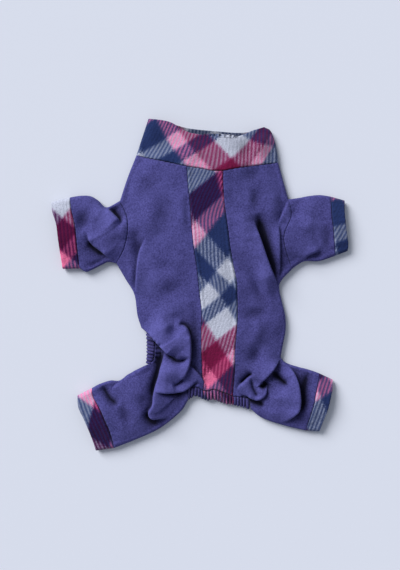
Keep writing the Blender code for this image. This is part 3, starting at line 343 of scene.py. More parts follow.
def sleeve_lines(hand, sections):
    """Top and bottom edges of a sleeve, from the armhole to the cuff seam."""
    hole, at = armhole(hand), limb_points[hand + "_front"]
    steps = [2 * FINE] + [s.rows * FINE for s in sections]
    corners = [True] + [s.outer_corner for s in sections]
    top = smooth_line([hole[0]] + [at(s.outer) for s in sections], steps, corners)
    bottom = smooth_line([hole[-1]] + [at(s.inner) for s in sections], steps, corners)
    return top, bottom


sleeves = {"left": sleeve_lines("left", LEFT_SLEEVE), "right": sleeve_lines("right", RIGHT_SLEEVE)}


def cuff_rim(name, limb):
    """Rim of a cuff, past its seam."""
    seam = along_line(cuff_seams[name], np.linspace(0.0, 1.0, len(limb.rim)))
    along = np.array((cos(radians(limb.turn)), sin(radians(limb.turn))))
    root = body_at(limb.root)
    across = (limb_points[name]((0.0, 1.0)) - root) / limb.width
    points = []
    for (out, up), base in zip(limb.rim, seam):
        rise = up * limb.width - np.dot(base - root, across)
        points.append(base + along * (out * limb.cuff_depth) + across * rise)
    return simple_line(points)


cuff_rims = {name: cuff_rim(name, limb) for name, limb in LIMBS.items()}


def collar_at(share):
    return NECK_MIDDLE + np.array((share[0] * CHEST_WIDTH, share[1] * COLLAR_HEIGHT))


near_rim = simple_line([collar_at(p) for p in NEAR_RIM])
far_rim = simple_line([collar_at(p) for p in FAR_RIM])
collar_left = simple_line([neck["left"][0], near_rim[0]])
collar_right = simple_line([neck["right"][-1]] + [collar_at(p) for p in COLLAR_RIGHT_EDGE[1:]])

# The lie of the cloth. The empty suit keeps some air: its upper layer stands over the lower one, and sinks
# to the round fold at the outline. On it lie the folds that the cloth took when it was laid down: flaps
# that overlap the cloth beside them, rolls, sharp creases and shallow hollows.
LOFT = 0.013
LOFT_REACH = 0.028
LOFT_BLEND = 0.007  # over which the slopes from two edges blend
LOFT_ROOM = 0.7  # how much of the loft a fold may sink into
EDGE_START = 0.4  # where folds begin beside the outline, in fold radii, and over what run they grow
EDGE_RUN = 0.8
LIMB_LOFT_SHARE = 0.42
CHEST_LOFT_REACH = 0.25
CHEST_LOFT_FADE = 0.45
COLLAR_FADE = 0.086
TAIL_DROP_REACH = 0.030
TAIL_LOFT_SHARE = 0.15
TAIL_FOLD_SHARE = 0.45
FOLD_HEIGHT = 0.0098
FOLD_WIDTH = 0.0080
FOLD_REACH = 6  # fold widths past which a fold is not felt
FOLD_FADE = 1.6  # how soon a fold is whole from its ends
FLAP_EDGE = 0.0011  # half the run of the step at the edge of a flap
FLAP_LEAN = 0.0021  # how far a flap's edge reaches over the cloth below it
LEAN_WIDTH = 0.6  # of the leaning strip, in fold widths
FLAP_SPREAD = 2.2  # of the high side, in fold widths
FLAP_HOLLOW = 0.9  # and of the low side
FLAP_SINK = 0.8  # depth of the low side, as a share of the fold's height
DEEPEST = 0.0046  # below the loft
LOWER_TURN = 0.5  # of a seam in the lower layer, as a share of its turn in the upper one
# painted shade over all of the lower layer
LOWER_PAINTED_SHADE = -0.5
RIPPLES = ((24.0, 0.0030), (60.0, 0.0011), (150.0, 0.00030))  # per metre, and height
SOFTER = 1.25  # spread of rolls and hollows, in their widths
SOFT_PAINTED_SHADING = 0.45  # how much painted shade and highlight they carry, beside a crease
FLAP = "flap"
ROLL = "roll"
CREASE = "crease"
HOLLOW = "hollow"
# Name, kind, height and width as shares of FOLD_HEIGHT and FOLD_WIDTH, and the line, across and along. A
# flap is high on the left of its line.
FOLDS = (
    ("edge over the flank casing", FLAP, 0.9, 1, ((-0.407, 0.694), (-0.352, 0.723), (-0.315, 0.749),
        (-0.272, 0.779), (-0.241, 0.798), (-0.21, 0.821))),
    ("pocket under the puff", CREASE, 1.3, 0.42, ((-0.241, 0.796), (-0.216, 0.817), (-0.185, 0.832),
        (-0.148, 0.83), (-0.117, 0.815))),
    ("hook by the stripe", FLAP, 0.85, 0.9, ((-0.204, 0.934), (-0.170, 0.918), (-0.133, 0.885),
        (-0.108, 0.838), (-0.102, 0.787), (-0.105, 0.736), (-0.117, 0.702), (-0.139, 0.683),
        (-0.167, 0.674))),
    ("hook tip", CREASE, 1.0, 0.45, ((-0.210, 0.938), (-0.190, 0.933), (-0.168, 0.921), (-0.148, 0.904))),
    ("hook top", CREASE, 0.6, 0.4, ((-0.173, 0.677), (-0.142, 0.681), (-0.12, 0.702), (-0.111, 0.732))),
    ("flank dimple", HOLLOW, 0.45, 0.7, ((-0.247, 0.677), (-0.21, 0.702), (-0.167, 0.698))),
    ("flank puff", ROLL, 0.9, 1.3, ((-0.352, 0.6), (-0.302, 0.66), (-0.241, 0.723), (-0.16, 0.779))),
    ("thigh roll edge", FLAP, 1, 0.9, ((-0.259, 0.781), (-0.269, 0.821), (-0.284, 0.86),
        (-0.296, 0.898), (-0.315, 0.94), (-0.327, 0.979), (-0.333, 1.021), (-0.355, 1.047),
        (-0.353, 1.068), (-0.327, 1.079), (-0.284, 1.078), (-0.216, 1.077))),
    ("gap beside the thigh roll", CREASE, 0.8, 0.4, ((-0.284, 0.796), (-0.29, 0.838), (-0.306, 0.885),
        (-0.327, 0.936), (-0.34, 0.987))),
    ("thigh roll", ROLL, 0.45, 1.1, ((-0.228, 0.83), (-0.228, 0.881), (-0.241, 0.932))),
    ("under the thigh roll", FLAP, 0.9, 0.8, ((-0.312, 0.964), (-0.259, 0.966), (-0.198, 0.966),
        (-0.148, 0.96), (-0.105, 0.943), (-0.056, 0.915))),
    ("dark under the thigh roll", CREASE, 0.7, 0.3, ((-0.296, 0.968), (-0.241, 0.972), (-0.191, 0.972),
        (-0.142, 0.964))),
    ("roll by the tail", FLAP, 0.6, 0.7, ((-0.006, 0.953), (-0.025, 0.919), (-0.049, 0.894),
        (-0.08, 0.87), (-0.111, 0.849))),
    ("tail corner crease", CREASE, 0.6, 0.3, ((-0.13, 0.962), (-0.093, 0.94), (-0.049, 0.928),
        (-0.012, 0.957))),
    ("heel crease", CREASE, 0.8, 0.4, ((-0.364, 1.051), (-0.358, 1.072), (-0.333, 1.094), (-0.296, 1.111))),
    ("shin hollow", HOLLOW, 0.5, 0.6, ((-0.512, 1.0), (-0.509, 1.047), (-0.488, 1.081), (-0.451, 1.106))),
    ("shin roll", ROLL, 0.35, 1, ((-0.481, 1.0), (-0.438, 1.043), (-0.377, 1.085), (-0.315, 1.115))),
    ("calf hollow", HOLLOW, 0.3, 0.8, ((-0.414, 0.966), (-0.401, 1.009), (-0.383, 1.043))),
    ("left ankle crease", CREASE, 0.75, 0.42, ((-0.648, 0.936), (-0.63, 0.962), (-0.608, 0.987),
        (-0.58, 1.006), (-0.543, 1.023))),
    ("left ankle notch", FLAP, 0.45, 0.5, ((-0.534, 0.917), (-0.559, 0.934), (-0.586, 0.954))),
    ("left ankle band", ROLL, 0.2, 0.8, ((-0.685, 0.966), (-0.642, 1.021), (-0.599, 1.106))),
    ("flank gather one", CREASE, 0.45, 0.2, ((-0.321, 0.764), (-0.296, 0.762), (-0.272, 0.757))),
    ("flank gather two", CREASE, 0.4, 0.18, ((-0.321, 0.785), (-0.296, 0.779), (-0.272, 0.777))),
    ("flank gather three", CREASE, 0.4, 0.18, ((-0.321, 0.804), (-0.296, 0.802), (-0.278, 0.8))),
    ("flank gather four", CREASE, 0.45, 0.2, ((-0.321, 0.817), (-0.296, 0.828), (-0.278, 0.834))),
    ("flank gather five", CREASE, 0.35, 0.18, ((-0.321, 0.743), (-0.302, 0.749))),
    ("flank gather six", CREASE, 0.35, 0.18, ((-0.327, 0.838), (-0.302, 0.847), (-0.284, 0.86))),
    ("left armpit flap", FLAP, 0.55, 0.8, ((-0.377, 0.315), (-0.404, 0.353), (-0.42, 0.391),
        (-0.429, 0.447), (-0.438, 0.511), (-0.449, 0.551))),
    ("left armpit pleat", ROLL, 0.22, 0.45, ((-0.469, 0.413), (-0.466, 0.468), (-0.46, 0.515))),
    ("left armhole hollow", HOLLOW, 0.32, 0.6, ((-0.451, 0.243), (-0.435, 0.302), (-0.429, 0.37),
        (-0.438, 0.421))),
    ("left chest ridge", ROLL, 0.28, 1.1, ((-0.142, 0.047), (-0.136, 0.191), (-0.13, 0.34))),
    ("left chest hollow", HOLLOW, 0.26, 1, ((-0.241, 0.106), (-0.253, 0.213), (-0.241, 0.319))),
    ("left shoulder hollow", HOLLOW, 0.25, 0.9, ((-0.414, 0.047), (-0.352, 0.089), (-0.29, 0.115))),
    ("left breast ridge", ROLL, 0.3, 1, ((-0.414, 0.191), (-0.352, 0.243), (-0.29, 0.319))),
    ("left waist wrinkle one", HOLLOW, 0.24, 0.7, ((-0.352, 0.413), (-0.272, 0.438), (-0.191, 0.455))),
    ("left waist wrinkle two", HOLLOW, 0.22, 0.7, ((-0.302, 0.523), (-0.216, 0.54), (-0.13, 0.532))),
    ("left waist ridge", ROLL, 0.25, 0.9, ((-0.377, 0.481), (-0.29, 0.489), (-0.179, 0.502))),
    ("left waist lower hollow", HOLLOW, 0.35, 0.7, ((-0.29, 0.626), (-0.216, 0.651), (-0.13, 0.643),
        (-0.068, 0.626))),
    ("beside the stripe, left", HOLLOW, 0.35, 0.6, ((-0.086, 0.532), (-0.068, 0.638), (-0.068, 0.766),
        (-0.062, 0.855))),
    ("upper beside the stripe", HOLLOW, 0.22, 0.5, ((-0.139, 0.03), (-0.123, 0.149), (-0.111, 0.268),
        (-0.099, 0.362))),
    ("left sleeve roll edge", FLAP, 0.85, 0.9, ((-0.528, 0.251), (-0.552, 0.23), (-0.586, 0.206),
        (-0.623, 0.179), (-0.667, 0.155))),
    ("left sleeve roll", ROLL, 0.6, 1.15, ((-0.648, 0.183), (-0.599, 0.234), (-0.556, 0.294),
        (-0.537, 0.336))),
    ("left elbow fold", FLAP, 0.8, 0.75, ((-0.741, 0.285), (-0.725, 0.319), (-0.704, 0.34),
        (-0.673, 0.357), (-0.639, 0.374), (-0.611, 0.391), (-0.577, 0.411))),
    ("left elbow crease", CREASE, 1, 0.35, ((-0.728, 0.323), (-0.704, 0.345), (-0.673, 0.362),
        (-0.636, 0.381))),
    ("left cuff hollow", HOLLOW, 0.55, 0.75, ((-0.784, 0.183), (-0.762, 0.238), (-0.741, 0.289))),
    ("left shoulder crease", CREASE, 0.6, 0.45, ((-0.593, 0.174), (-0.568, 0.204), (-0.543, 0.234),
        (-0.531, 0.26))),
    ("left sleeve ripple", ROLL, 0.25, 0.4, ((-0.549, 0.174), (-0.525, 0.221), (-0.512, 0.277),
        (-0.522, 0.332))),
    ("left sleeve lower edge", HOLLOW, 0.5, 0.35, ((-0.772, 0.44), (-0.716, 0.432), (-0.654, 0.415),
        (-0.593, 0.4))),
    ("left forearm ridge", ROLL, 0.35, 0.8, ((-0.71, 0.149), (-0.679, 0.2), (-0.642, 0.268))),
    ("right drape", FLAP, 0.85, 0.95, ((0.448, 0.538), (0.42, 0.485), (0.395, 0.447), (0.37, 0.404),
        (0.349, 0.362), (0.327, 0.319), (0.309, 0.281), (0.293, 0.238))),
    ("right drape hollow", CREASE, 1, 0.6, ((0.309, 0.209), (0.327, 0.255), (0.352, 0.311),
        (0.377, 0.37), (0.407, 0.43), (0.432, 0.485))),
    ("right chest hollow", HOLLOW, 0.4, 0.6, ((0.299, 0.089), (0.302, 0.149), (0.315, 0.209))),
    ("right pleat", FLAP, 0.35, 0.5, ((0.452, 0.506), (0.448, 0.413), (0.444, 0.319), (0.442, 0.255))),
    ("right shoulder flap", FLAP, 0.4, 0.5, ((0.5, 0.149), (0.485, 0.183), (0.463, 0.217), (0.446, 0.247))),
    ("right neck hollow", HOLLOW, 0.3, 0.8, ((0.179, 0.047), (0.278, 0.051), (0.377, 0.038))),
    ("right waist crease", HOLLOW, 0.5, 0.65, ((0.222, 0.387), (0.278, 0.455), (0.321, 0.523),
        (0.352, 0.579), (0.395, 0.617))),
    ("right waist roll", ROLL, 0.35, 0.8, ((0.302, 0.413), (0.358, 0.498), (0.407, 0.566))),
    ("right waist hollow", HOLLOW, 0.42, 0.75, ((0.191, 0.634), (0.265, 0.638), (0.34, 0.632),
        (0.407, 0.621))),
    ("right hip puff", ROLL, 0.35, 1.2, ((0.241, 0.706), (0.315, 0.711), (0.389, 0.702))),
    ("right hip hollow", HOLLOW, 0.55, 0.8, ((0.309, 0.745), (0.302, 0.813), (0.309, 0.881))),
    ("right chest ridge", ROLL, 0.3, 1, ((0.21, 0.149), (0.222, 0.255), (0.253, 0.34))),
    ("right side ridge", ROLL, 0.25, 0.8, ((0.401, 0.106), (0.401, 0.191), (0.389, 0.268))),
    ("right hip edge", FLAP, 0.75, 0.7, ((0.324, 0.93), (0.346, 0.913), (0.377, 0.891), (0.401, 0.872),
        (0.429, 0.847), (0.463, 0.819))),
    ("right pocket", CREASE, 1.5, 0.4, ((0.33, 0.93), (0.346, 0.943), (0.364, 0.919))),
    ("right hip crease", CREASE, 1.2, 0.4, ((0.404, 0.879), (0.432, 0.898), (0.469, 0.919), (0.506, 0.94))),
    ("right pouch edge", FLAP, 0.8, 0.85, ((0.463, 1.102), (0.512, 1.079), (0.549, 1.055),
        (0.568, 1.034), (0.573, 1.0), (0.568, 0.957), (0.556, 0.919), (0.537, 0.887), (0.512, 0.86),
        (0.481, 0.834))),
    ("right pouch", ROLL, 0.5, 1.5, ((0.438, 0.936), (0.475, 0.983), (0.463, 1.034))),
    ("beside the pouch", CREASE, 0.8, 0.5, ((0.58, 1.051), (0.593, 1.009), (0.596, 0.962),
        (0.611, 0.919), (0.633, 0.881))),
    ("tuck edge", FLAP, 0.75, 0.6, ((0.204, 0.985), (0.247, 0.983), (0.278, 0.994), (0.309, 1.0),
        (0.336, 0.991), (0.355, 0.979), (0.367, 0.957), (0.377, 0.923))),
    ("tuck crease", CREASE, 1, 0.35, ((0.272, 0.902), (0.281, 0.94), (0.299, 0.97), (0.321, 0.987))),
    ("ridge in the tuck", ROLL, 0.5, 0.35, ((0.315, 0.923), (0.327, 0.957), (0.34, 0.983))),
    ("right tail fold", FLAP, 0.7, 0.6, ((0.29, 0.883), (0.256, 0.904), (0.228, 0.923), (0.204, 0.938),
        (0.185, 0.957))),
    ("right tail crease", CREASE, 0.8, 0.3, ((0.204, 0.934), (0.228, 0.917), (0.259, 0.898),
        (0.284, 0.885))),
    ("under the tuck", CREASE, 1, 0.35, ((0.247, 0.989), (0.284, 1.004), (0.321, 1.015), (0.358, 1.023))),
    ("over the tail casing", CREASE, 0.7, 0.25, ((0.21, 0.987), (0.235, 0.981), (0.265, 0.989))),
    ("right pouch lower ridge", ROLL, 0.25, 0.5, ((0.34, 1.038), (0.401, 1.055), (0.469, 1.055))),
    ("right elbow fold", FLAP, 0.5, 0.6, ((0.593, 0.411), (0.617, 0.389), (0.648, 0.377), (0.704, 0.363))),
    ("right cuff hollow", HOLLOW, 0.35, 0.6, ((0.744, 0.243), (0.75, 0.311), (0.747, 0.379))),
    ("right sleeve ridge", ROLL, 0.35, 1, ((0.574, 0.298), (0.623, 0.26), (0.685, 0.217))),
    ("right armhole hollow", HOLLOW, 0.4, 0.5, ((0.531, 0.157), (0.54, 0.2), (0.531, 0.251))),
    ("right sleeve lower hollow", HOLLOW, 0.3, 0.6, ((0.611, 0.4), (0.685, 0.391), (0.759, 0.383))),
    ("collar left hollow", HOLLOW, 0.3, 0.9, ((-0.302, -0.174), (-0.278, -0.098), (-0.253, -0.03))),
    ("collar middle ridge", ROLL, 0.25, 1, ((-0.105, -0.106), (-0.093, -0.043), (-0.068, 0.004))),
    ("collar right hollow", HOLLOW, 0.35, 0.8, ((0.222, -0.115), (0.241, -0.055), (0.253, -0.004))),
    ("collar right ridge", ROLL, 0.45, 0.9, ((0.346, -0.14), (0.34, -0.085), (0.333, -0.021))),
)


def nearest(points, line):
    """Distance to a line, share of the line there, offset from it, and side: above zero on the left."""
    starts, run = line[:-1], np.diff(line, axis=0)
    reach = np.maximum(np.sum(run * run, axis=1), 1e-12)
    gaps, shares, offsets, turns = [], [], [], []
    for part in np.array_split(points, len(points) // 4000 + 1):
        offset = part[:, None, :] - starts[None]
        share = np.clip(np.sum(offset * run[None], axis=2) / reach[None], 0.0, 1.0)
        offset = offset - share[..., None] * run[None]
        gap = np.linalg.norm(offset, axis=2)
        pick = np.argmin(gap, axis=1)
        row = np.arange(len(part))
        gaps.append(gap[row, pick])
        shares.append((pick + share[row, pick]) / len(starts))
        offsets.append(offset[row, pick])
        turns.append(np.sign(run[pick, 0] * offset[row, pick, 1] - run[pick, 1] * offset[row, pick, 0]))
    return np.concatenate(gaps), np.concatenate(shares), np.concatenate(offsets), np.concatenate(turns)


fold_lines = [collar_left, collar_right]
for hand in ("left", "right"):
    outer, inner, outer_edges, inner_edges = sides[hand][:4]
    for first, after in stretches([edge == FOLD for edge in outer_edges]):
        fold_lines.append(outer[first:after + 1])
    for first, after in stretches([edge == FOLD for edge in inner_edges]):
        fold_lines.append(inner[first:after + 1])
    fold_lines.extend(sleeves[hand])
for name, rim in cuff_rims.items():
    fold_lines.append(np.stack((cuff_seams[name][0], rim[0])))
    fold_lines.append(np.stack((cuff_seams[name][-1], rim[-1])))
flank_first, flank_after = stretches([edge == SEAM for edge in sides["left"][2]])[1]
flank_seam = sides["left"][0][flank_first:flank_after + 1]
flank_x = min(flank_seam[0, 0], flank_seam[-1, 0])
fold_lines.append(np.array(((flank_x, flank_seam[0, 1]), (flank_x, flank_seam[-1, 1]))))
tail_seams = {"middle": simple_line([body_at(p) for p in TAIL_MIDDLE])}
for hand in ("left", "right"):
    first, last = sides[hand][5][1:3]
    tail_seams[hand] = sides[hand][1][first:last + 1]
tail_seam = np.concatenate((tail_seams["left"][::-1], tail_seams["middle"][1:], tail_seams["right"][1:]))
fold_paths = [(kind, height * FOLD_HEIGHT, width * FOLD_WIDTH, simple_line([body_at(p) for p in line]))
              for _, kind, height, width, line in FOLDS]


def edge_gaps(points):
    """Distance to the outline's folds, as it is, and blended where several are near."""
    gaps = np.array([nearest(points, line)[0] for line in fold_lines])
    hard = gaps.min(axis=0)
    blended = hard - LOFT_BLEND * np.log(np.sum(np.exp(-(gaps - hard) / LOFT_BLEND), axis=0))
    return hard, np.maximum(blended, 0.0)


def folds_at(points):
    """Height of the folds at plan points, their lean sideways, and their painted shade and highlight."""
    total = np.zeros(len(points))
    painted_shading = np.zeros(len(points))
    lean = np.zeros(points.shape)
    for kind, height, width, path in fold_paths:
        reach = FOLD_REACH * width
        inside = (points > path.min(axis=0) - reach) & (points < path.max(axis=0) + reach)
        near = np.flatnonzero(np.all(inside, axis=1))
        if not len(near):
            continue
        gap, share, offset, turn = nearest(points[near], path)
        fade = np.clip(FOLD_FADE * np.sin(pi * share), 0.0, 1.0)
        before = total[near]
        if kind == FLAP:
            side = gap * turn
            high = 0.5 * (1 + np.tanh(side / FLAP_EDGE))
            up = high * np.exp(-gap / (FLAP_SPREAD * width))
            down = (1 - high) * FLAP_SINK * np.exp(-gap / (FLAP_HOLLOW * width))
            total[near] += height * fade * (up - down)
            away = offset * turn[:, None] / np.maximum(gap, 1e-6)[:, None]
            push = FLAP_LEAN * fade * high * np.exp(-(gap / (LEAN_WIDTH * width)) ** 2)
            lean[near] -= away * push[:, None]
        elif kind == CREASE:
            total[near] -= height * fade * np.exp(-gap / width)
        else:
            shape = np.sin(pi * np.clip(share, 0.0, 1.0)) ** 2 * np.exp(-(gap / (SOFTER * width)) ** 2)
            total[near] += height * shape if kind == ROLL else -height * shape
        # painted shade where a fold sinks, painted highlight where it rises
        painted_shading[near] += (total[near] - before) * (1.0 if kind in (FLAP, CREASE) else SOFT_PAINTED_SHADING)
    return total, lean, painted_shading / FOLD_HEIGHT


def ripples(points):
    total = np.zeros(len(points))
    for place, (pitch, height) in enumerate(RIPPLES):
        total += height * np.array([noise.noise((x * pitch, y * pitch, 7.3 * place)) for x, y in points])
    return total


def upper_at(points):
    """Height of the upper layer at plan points, its lean, how clear of the outline they lie, and the
    folds' painted shade and highlight."""
    hard, blended = edge_gaps(points)
    into = np.clip(FOLD_RADIUS - hard, 0.0, None)
    roll = FOLD_RADIUS + np.sqrt(np.maximum(FOLD_RADIUS ** 2 - into ** 2, 0.0))
    from_neck = points - NECK_MIDDLE
    out = np.clip(np.abs(from_neck[:, 0]) / CHEST_WIDTH - CHEST_LOFT_REACH, 0.0, None) / CHEST_LOFT_FADE
    full = LIMB_LOFT_SHARE + (1 - LIMB_LOFT_SHARE) * np.exp(-out ** 2)
    full = np.where(from_neck[:, 1] > 0.0, full * np.exp(-from_neck[:, 1] / COLLAR_FADE), full)
    inside = np.clip(blended - FOLD_RADIUS, 0.0, None)
    loft = LOFT * full * (1 - np.exp(-inside / LOFT_REACH))
    near_edge = 1 - np.exp(-np.clip(hard - EDGE_START * FOLD_RADIUS, 0.0, None) / (EDGE_RUN * FOLD_RADIUS))
    drop = 1 - np.exp(-(nearest(points, tail_seam)[0] / TAIL_DROP_REACH) ** 2)
    folds, lean, painted_shading = folds_at(points)
    folds *= near_edge * (TAIL_FOLD_SHARE + (1 - TAIL_FOLD_SHARE) * drop)
    lean *= near_edge[:, None]
    room = np.maximum(LOFT_ROOM * loft + DEEPEST * near_edge, 1e-6)
    folds = np.where(folds < 0.0, -room * np.tanh(-folds / room), folds)
    fullness = TAIL_LOFT_SHARE + (1 - TAIL_LOFT_SHARE) * drop
    height = roll + loft * fullness + folds + ripples(points) * near_edge
    return height, lean, near_edge, np.clip(painted_shading * near_edge, -1.0, 1.0)


def lower_at(points):
    hard = np.min([nearest(points, line)[0] for line in fold_lines], axis=0)
    into = np.clip(FOLD_RADIUS - hard, 0.0, None)
    return FOLD_RADIUS - np.sqrt(np.maximum(FOLD_RADIUS ** 2 - into ** 2, 0.0))


def round_over(gap, radius):
    """How far a turned edge sinks at a distance from its seam."""
    into = np.clip(radius - gap, 0.0, None)
    return radius - np.sqrt(np.maximum(radius ** 2 - into ** 2, 0.0))


def quads(at, forward):
    """Faces of a grid of vertex numbers."""
    faces = np.stack((at[:-1, :-1], at[:-1, 1:], at[1:, 1:], at[1:, :-1]), axis=-1).reshape(-1, 4)
    return faces if forward else faces[:, ::-1]


def plan_turn(grid):
    """Above zero where rows and columns run anticlockwise seen from above."""
    across = grid[:, 1:] - grid[:, :-1]
    down = grid[1:] - grid[:-1]
    a, b = across[:-1], down[:, :-1]
    return np.nansum(a[..., 0] * b[..., 1] - a[..., 1] * b[..., 0])


def keep_in(mesh, name, kind, field, values):
    """Attribute with a value for each vertex."""
    layer = mesh.attributes.new(name, kind, "POINT")
    layer.data.foreach_set(field, values.astype(np.float32).ravel())


def piece_from(name, points, faces, wall, material, slot_name, plan, painted_shading):
    """Closed cloth wall of a piece, which stands for its CAD node. Its "plan" attribute is where it lies,
    and its "painted_shading" is painted shade below zero, in folds, and painted highlight above it, on
    crests."""
    mesh = bpy.data.meshes.new(name + "_cloth")
    mesh.from_pydata(points.tolist(), [], faces.tolist())
    keep_in(mesh, "plan", "FLOAT_VECTOR", "vector", plan)
    keep_in(mesh, "painted_shading", "FLOAT", "value", painted_shading)
    mesh.shade_smooth()
    mesh.materials.append(material)
    piece = bpy.data.objects.new(name + "_cloth", mesh)
    bpy.context.scene.collection.objects.link(piece)
    solid = piece.modifiers.new("wall", "SOLIDIFY")
    solid.thickness = wall
    solid.offset = -1.0
    solid.use_quality_normals = True
    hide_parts(name)
    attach(piece, "root")
    return piece


def layered_piece(name, upper, lower, folds, seams, cloth, extra=None, low_seams=None):
    """Piece on both layers. Seams are the lines along which its edges turn under, with the radius of the
    turn; the lower layer has the same ones where it has none of its own."""
    wall, material, slot_name = cloth
    rows, columns = upper.shape[:2]
    flat = upper.reshape(-1, 2)
    height, lean, near_edge, painted_shading = upper_at(flat)
    for line, radius in seams:
        gap, share = nearest(flat, line)[:2]
        height -= round_over(gap, radius) * near_edge
        arc = share * line_length(line)
        height += PUCKER * np.sin(2 * pi * arc / PUCKER_PITCH) * np.exp(-gap / PUCKER_REACH) * near_edge
    if extra is not None:
        height += extra(flat) * near_edge
    for flags, column in zip(folds, (0, -1)):
        edge = height.reshape(rows, columns)
        edge[flags, column] = FOLD_RADIUS
    lean[np.flatnonzero(near_edge == 0.0)] = 0.0
    points = [np.column_stack((flat + lean, height))]
    plan = [np.column_stack((flat, np.zeros(len(flat))))]
    painted_shading = [painted_shading]
    at = np.arange(rows * columns).reshape(rows, columns)
    faces = [quads(at, plan_turn(upper) > 0)]
    if lower is not None:
        low_columns = lower.shape[1]
        present = ~np.isnan(lower[:, 0, 0])
        low_flat = np.nan_to_num(lower.reshape(-1, 2))
        low_height = lower_at(low_flat)
        for line, radius in low_seams or seams:
            low_height += round_over(nearest(low_flat, line)[0], LOWER_TURN * radius)
        low_at = len(flat) + np.arange(rows * low_columns).reshape(rows, low_columns)
        low_at[folds[0] & present, 0] = at[folds[0] & present, 0]
        low_at[folds[1] & present, -1] = at[folds[1] & present, -1]
        points.append(np.column_stack((low_flat, low_height)))
        plan.append(np.column_stack((low_flat, np.ones(len(low_flat)))))
        # painted shade over the lower layer
        painted_shading.append(LOWER_PAINTED_SHADE * np.ones(len(low_flat)))
        for first, after in stretches(present):
            faces.append(quads(low_at[first:after], plan_turn(upper) < 0))
    points, plan, painted_shading, faces = (np.concatenate(part) for part in (points, plan, painted_shading, faces))
    used, faces = np.unique(faces, return_inverse=True)
    return piece_from(name, points[used], faces.reshape(-1, 4), wall, material, slot_name, plan[used],
                      painted_shading[used])


# Brushed jersey. A single knit of violet heather, its face brushed to a short nap: matt, a little lighter
# where it turns away from the eye, with fine rows of stitches that show through the nap and small pills.
JERSEY_WALL = 0.0017
SEAM_TURN = 0.0013  # radius at which jersey turns under at a seam
PUCKER = 0.00030
PUCKER_PITCH = 0.0065
PUCKER_REACH = 0.0035
COURSE_PITCH = 0.00125
COURSE_TONE = 0.05  # what rows of stitches, clouds and specks add to the tone, and the folds' painted highlight and shade
CLOUD_TONE = 0.65
SPECK_TONE = 2.1
PAINTED_FOLD_TONE = 0.45
TONE_START = -0.58
COURSE_HEIGHT = 0.12
PILLS = 420.0  # per metre
PILL_HEIGHT = -0.35
PAINTED_SHADE_RATE = 1.3  # how fast the painted shade darkens with depth in a fold
# floor of the painted shade in a fold
PAINTED_SHADE_FLOOR = 0.12
JERSEY_FIBRE = 560.0  # per metre
JERSEY_BUMP = (0.55, 0.0006)  # strength and distance
JERSEY_COLOURS = ((0.031, 0.029, 0.125), (0.106, 0.103, 0.350))  # deep in the nap, and on its tips
JERSEY_FINISH = {"Roughness": 0.95, "Specular IOR Level": 0.12, "Sheen Weight": 0.10,
                 "Sheen Roughness": 0.5,
                 "Sheen Tint": (0.55, 0.60, 0.95, 1.0)}


def add(tree, kind, inputs=(), **settings):
    """Node with its settings made, and its inputs set to values or joined to other nodes' outputs."""
    made = tree.nodes.new(kind)
    for key, value in settings.items():
        setattr(made, key, value)
    for key, value in dict(inputs).items():
        if isinstance(value, bpy.types.NodeSocket):
            tree.links.new(value, made.inputs[key])
        else:
            made.inputs[key].default_value = value
    return made


def reckon(tree, operation, *values, clamp=False):
    """Output of a math node."""
    return add(tree, "ShaderNodeMath", dict(enumerate(values)), operation=operation,
               use_clamp=clamp).outputs[0]


def blend(tree, share, first, second, way="MIX"):
    """Output of a node that mixes two colours."""
    return add(tree, "ShaderNodeMix", {0: share, 6: first, 7: second}, data_type="RGBA",
               blend_type=way).outputs[2]


def new_group(name, inputs, outputs):
    """Shader node group with named sockets, and its input and output nodes."""
    tree = bpy.data.node_groups.new(name, "ShaderNodeTree")
    for label, kind, value in inputs:
        socket = tree.interface.new_socket(label, in_out="INPUT", socket_type=kind)
        if value is not None:
            socket.default_value = value
    for label, kind in outputs:
        tree.interface.new_socket(label, in_out="OUTPUT", socket_type=kind)
    return tree, tree.nodes.new("NodeGroupInput"), tree.nodes.new("NodeGroupOutput")


def nap_group():
    """Short brushed nap: how bright each spot of it is, and how high."""
    tree, ins, outs = new_group("brushed_nap", [
        ("Place", "NodeSocketVector", None), ("Fibre", "NodeSocketFloat", JERSEY_FIBRE),
        ("Cloud", "NodeSocketFloat", 45.0),
    ], [("Speck", "NodeSocketFloat"), ("Cloud", "NodeSocketFloat"), ("Height", "NodeSocketFloat")])
    place = ins.outputs["Place"]
    fibre = add(tree, "ShaderNodeTexNoise", {"Vector": place, "Scale": ins.outputs["Fibre"], "Detail": 4.0,
                                             "Roughness": 0.65})
    cloud = add(tree, "ShaderNodeTexNoise", {"Vector": place, "Scale": ins.outputs["Cloud"], "Detail": 3.0,
                                             "Roughness": 0.55})
    pill = add(tree, "ShaderNodeTexVoronoi", {"Vector": place, "Scale": PILLS}, feature="F1")
    height = reckon(tree, "MULTIPLY_ADD", pill.outputs["Distance"], PILL_HEIGHT, fibre.outputs["Fac"])
    for label, value in (("Speck", fibre.outputs["Fac"]), ("Cloud", cloud.outputs["Fac"]),
                         ("Height", height)):
        tree.links.new(value, outs.inputs[label])
    return tree


nap = nap_group()


def napped_material(name, finish, fibre):
    """Material with its finish set, and its tree, its place on the cloth, its nap and its folds' painted
    shade and highlight.
    """
    material = bpy.data.materials.new(name)
    material.use_nodes = True
    tree = material.node_tree
    for label, value in finish.items():
        tree.nodes["Principled BSDF"].inputs[label].default_value = value
    place = add(tree, "ShaderNodeTexCoord").outputs["Object"]
    fluff = add(tree, "ShaderNodeGroup", {"Place": place, "Fibre": fibre}, node_tree=nap)
    # painted shade and highlight of the folds
    painted_shading = add(tree, "ShaderNodeAttribute", attribute_name="painted_shading").outputs["Fac"]
    return material, tree, place, fluff.outputs, painted_shading


